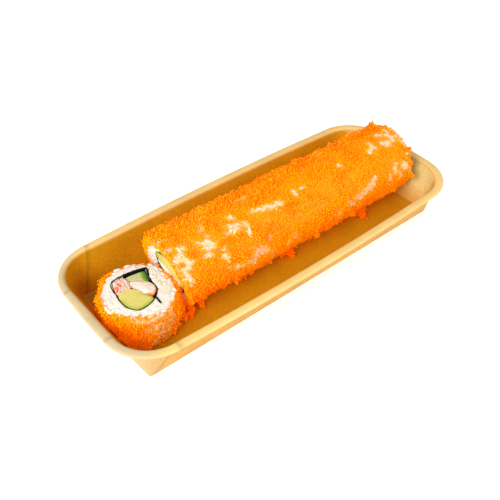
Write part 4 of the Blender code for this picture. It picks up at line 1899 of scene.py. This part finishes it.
@dataclass
class NoriSheet:
    """The seaweed, wound once round the fillings."""

    food: Food
    around: int = 150
    proud: float = 0.12 * MM
    crinkle: float = 0.25 * MM
    fringe: float = 0.3 * MM
    upper_heights: tuple[float, float] = (3.0, 6.5)
    upper_rise: float = 0.3 * MM
    upper_width: float = 0.5 * MM
    thinning: float = 0.12
    angle_step: float = 0.012
    tail: tuple[Section, Section] = ((4.4, -8.6), (4.0, -13.2))
    tail_width: float = 0.85 * MM
    tail_proud: float = 0.6 * MM
    sharp_degrees: float = 50.0

    def build(self) -> None:
        """Makes the wound sheet from the solid's two outlines, with its crinkled cut edges."""
        food = self.food
        outer = [self.loop(share, False) for share in (0.01, 0.99)]
        inner = [self.loop(share, True) for share in (0.01, 0.99)]
        inner = [[self.thinned(*pair) for pair in zip(*loops)] for loops in zip(inner, outer)]
        outside, inside = self.wall(outer), self.wall(inner)
        bm = skinned(outside + inside[::-1] + [outside[0]], {})
        if food.part == "slice":
            self.add_tail(bm)
        mesh = meshed(bm)
        mesh.set_sharp_from_angle(angle=math.radians(self.sharp_degrees))
        add_piece(food.part + "_nori_sheet", mesh, Nori(), [food.part + "_nori"])

    def thinned(self, point: Vector, outer: Vector) -> Vector:
        """An inner point of the sheet, moved a little towards the outer one."""
        return point.lerp(outer, self.thinning * (0.8 + waves(point, 2.5 * MM, 1.0)))

    def wall(self, loops: Sequence[Ring]) -> list[Ring]:
        """One side of the sheet.

        Args:
            loops: Its outlines near both cuts.

        Returns:
            Its rings from cut to cut.
        """
        first, last = ([self.raised(point, end) for point in loops[end]] for end in (0, 1))
        return [first, *(between(first, last, share) for share in (0.04, 0.3, 0.7, 0.96)), last]

    def loop(self, share: float, inner: bool) -> Ring:
        """The sheet's outline near a cut, read at the centre line's own angles.

        Args:
            share: The share of the way between the cuts.
            inner: Whether the inner outline is wanted.

        Returns:
            The outline.
        """
        food = self.food
        loop = food.evened(food.section_loop(food.part + "_nori", share, inner), 900, 0)
        centre = food.slide(food.centre(share), share)
        spots = [(food.angle(point - centre), (point - centre).length, i) for i, point in enumerate(loop)]
        ring = []
        for index in range(self.around):
            goal = math.tau * index / self.around
            best = min((abs(folded(angle - goal)) // self.angle_step, far, i) for angle, far, i in spots)
            ring.append(loop[best[2]].copy())
        return ring

    def raised(self, point: Vector, end: int) -> Vector:
        """The edge of the sheet at a cut, a little proud of it and uneven.

        Args:
            point: The outline's point.
            end: 0 for the first cut, 1 for the last.

        Returns:
            The point on the cut.
        """
        food = self.food
        height = section_point(food, point).y
        upper = eased(height, *self.upper_heights) if food.part == "slice" else 0.0
        lift = self.proud + self.crinkle * waves(point, 1.6 * MM, 2.0) + self.upper_rise * upper
        torn = self.fringe * waves(point, 1.3 * MM, 5.0) + self.upper_width * upper
        centre = food.slide(food.centre(end), end)
        place = food.slide(point, end)
        return place + food.cuts[end][1] * lift + (place - centre).normalized() * torn

    def add_tail(self, bm: bmesh.types.BMesh) -> None:
        """Adds the end of the sheet that stands out into the rice on the slice.

        Args:
            bm: The sheet.
        """
        food = self.food
        start, end = (Vector(point) for point in self.tail)
        point = start.lerp(end, 0.5)
        middle = food.slide(food.centre(1.0) + Vector((point.x, point.y, 0)) * MM, 0.5)
        height = (food.slide(middle, 1.0) - middle).length * 2 + 2 * self.tail_proud
        turn = Matrix.Rotation(math.atan2(end.x - start.x, start.y - end.y), 3, "Z")
        block = bmesh.ops.create_cube(bm, size=1.0)["verts"]
        bmesh.ops.scale(bm, verts=block, vec=(self.tail_width, (end - start).length * MM, height))
        bmesh.ops.rotate(bm, verts=block, matrix=turn)
        bmesh.ops.translate(bm, verts=block, vec=middle)


@dataclass
class CrabStrands:
    """The loose strands of shredded crab on the cut faces."""

    food: Food
    count: int = 90
    sizes: Vector = field(default_factory=lambda: Vector((1.9, 0.42, 0.34)) * MM)
    bend: float = 0.5
    red_line: tuple[Section, Section] = ((-8.6, 5.6), (-5.6, 8.2))
    red_width: float = 1.6

    def build(self) -> None:
        """Lays the strands on the shreds' cut faces, within their outline."""
        food = self.food
        node = food.part + "_crab_shreds"
        draw = random.Random(food.seed + 5)
        scatter = Scatter()
        for end, (_, normal) in enumerate(food.cuts):
            if not food.shown_cuts[end]:
                continue
            loop = food.evened(food.section_loop(node, lerp(0.01, 0.99, end)), 60)
            loop = [food.slide(point, end) for point in loop]
            middle = middle_of(loop)
            for _ in range(self.count):
                edge = loop[draw.randrange(len(loop))]
                place = middle.lerp(edge, 0.86 * math.sqrt(draw.random()))
                place = place + normal * draw.uniform(0.05, 0.45) * MM
                sizes = self.sizes * draw.uniform(0.7, 1.25)
                red = near_line(section_point(food, place), *self.red_line, self.red_width)
                tint = min(1.0, draw.random() ** 1.5 * 0.75 + 0.7 * red)
                yaw = draw.gauss(0.9, 0.7)
                scatter.add(place, turned(facing(normal), yaw, draw.uniform(-0.25, 0.25), sizes), tint)
        mesh = scatter.mesh(bent_grain(self.bend))
        add_piece(food.part + "_crab_strands", mesh, CrabShreds(), [node])


@dataclass
class Studio:
    """The pale floor, the soft lights and the camera at the photo's view."""

    azimuth: float = -38.896
    elevation: float = 42.813
    roll: float = -0.164
    target: Vector = field(default_factory=lambda: Vector((-0.0269, 0.0265, 0.0)) * 0.216)
    distance: float = 1.7514 * 0.216
    lens: float = 49.64
    sensor: float = 36.0
    floor_size: float = 6.0
    floor_gap: float = 0.05 * MM
    dome_strength: float = 0.56
    lamps: tuple[tuple[str, Colour, float, float], ...] = (
        ("key", (-0.68, -0.18, 0.46), 0.45, 7.0),
        ("fill", (0.42, -0.68, 0.36), 0.6, 3.6),
    )

    def build(self) -> None:
        """Sets up the whole studio."""
        self.build_floor()
        self.build_lights()
        self.build_camera()
        bpy.context.scene.view_settings.view_transform = "Standard"

    def build_floor(self) -> None:
        """A wide pale floor just under the tray."""
        bm = bmesh.new()
        bmesh.ops.create_grid(bm, x_segments=8, y_segments=8, size=self.floor_size / 2)
        bmesh.ops.translate(bm, verts=bm.verts, vec=(0, 0, -self.floor_gap))
        floor = linked("floor", meshed(bm))
        Sweep().dress(floor)

    def build_lights(self) -> None:
        """A bright dome, and large soft lamps, each with its place, size and power."""
        world = bpy.data.worlds.new("studio")
        world.use_nodes = True
        background = world.node_tree.nodes["Background"]
        background.inputs["Color"].default_value = (*WHITE, 1.0)
        background.inputs["Strength"].default_value = self.dome_strength
        bpy.context.scene.world = world
        for name, place, size, power in self.lamps:
            lamp = bpy.data.lights.new(name, "AREA")
            lamp.size = size
            lamp.energy = power
            holder = linked(name, lamp)
            holder.location = place
            holder.rotation_euler = (-Vector(place)).to_track_quat("-Z", "Y").to_euler()

    def build_camera(self) -> None:
        """The camera at the photo's view."""
        azimuth, elevation = math.radians(self.azimuth), math.radians(self.elevation)
        level = math.cos(elevation)
        back = Vector((math.sin(azimuth) * level, -math.cos(azimuth) * level, math.sin(elevation)))
        right = (-back).cross(UP).normalized()
        turn = Matrix((right, back.cross(right), back)).transposed()
        turn = turn @ Matrix.Rotation(math.radians(self.roll), 3, "Z")
        data = bpy.data.cameras.new("camera")
        data.lens = self.lens
        data.sensor_width = self.sensor
        data.clip_start = 0.01
        camera = linked("camera", data)
        camera.matrix_world = Matrix.Translation(self.target + back * self.distance) @ turn.to_4x4()
        bpy.context.scene.camera = camera


def main() -> None:
    """Builds the object piece by piece, then the studio."""
    logging.basicConfig(level=logging.INFO, format="%(name)s %(message)s")
    roll = Food(
        "roll",
        along=SIDE,
        up=UP,
        side=-BACK,
        first_centre=Vector((-61.0, 1.5, 20.9)) * MM,
        last_centre=Vector((93.6, 0.9, 20.2)) * MM,
        radii=(20.3 * MM, 19.6 * MM),
        patches=ROLL_PATCHES,
        hidden_patches=26,
        seed=41,
        lone_eggs=0.08,
        spills=(NEAR_SPILL, FAR_SPILL),
        shown_cuts=(True, True),
    )
    piece = Food(
        "slice",
        along=UP,
        up=SIDE,
        side=BACK,
        first_centre=Vector((-79.4, -0.92, 1.1)) * MM,
        last_centre=Vector((-79.4, -1.34, 22.0)) * MM,
        radii=(19.3 * MM, 19.3 * MM),
        patches=SLICE_PATCHES,
        hidden_patches=0,
        seed=43,
        lone_eggs=0.3,
        spills=(HIDDEN_SPILL, SLICE_SPILL),
        shown_cuts=(False, True),
    )
    Tray().build()
    RiceBody(roll, stations=80, around=132).build()
    RiceBody(piece).build()
    coat = RoeCoat()
    coat.cover(roll)
    coat.cover(piece)
    coat.strew(roll)
    coat.build()
    crab = {"dome": 0.7 * MM, "lump": 0.3 * MM, "mark": crab_skin}
    shreds = {"dome": 0.3 * MM, "lump": 0.5 * MM, "lump_length": 1.5 * MM}
    for food, avocado_shape, crab_shape in ((roll, wide_avocado, low_crab), (piece, None, None)):
        NoriSheet(food).build()
        Filling(food, "avocado", Avocado(), mark=avocado_rind, near_shape=avocado_shape).build()
        Filling(food, "crab_stick", CrabStick(), near_shape=crab_shape, **crab).build()
        Filling(food, "crab_shreds", CrabShreds(), **shreds).build()
        CrabStrands(food).build()
        Filling(food, "cucumber", Cucumber(), dome=0.1 * MM, mark=cucumber_skin).build()
    Studio().build()


if __name__ == "__main__":
    main()
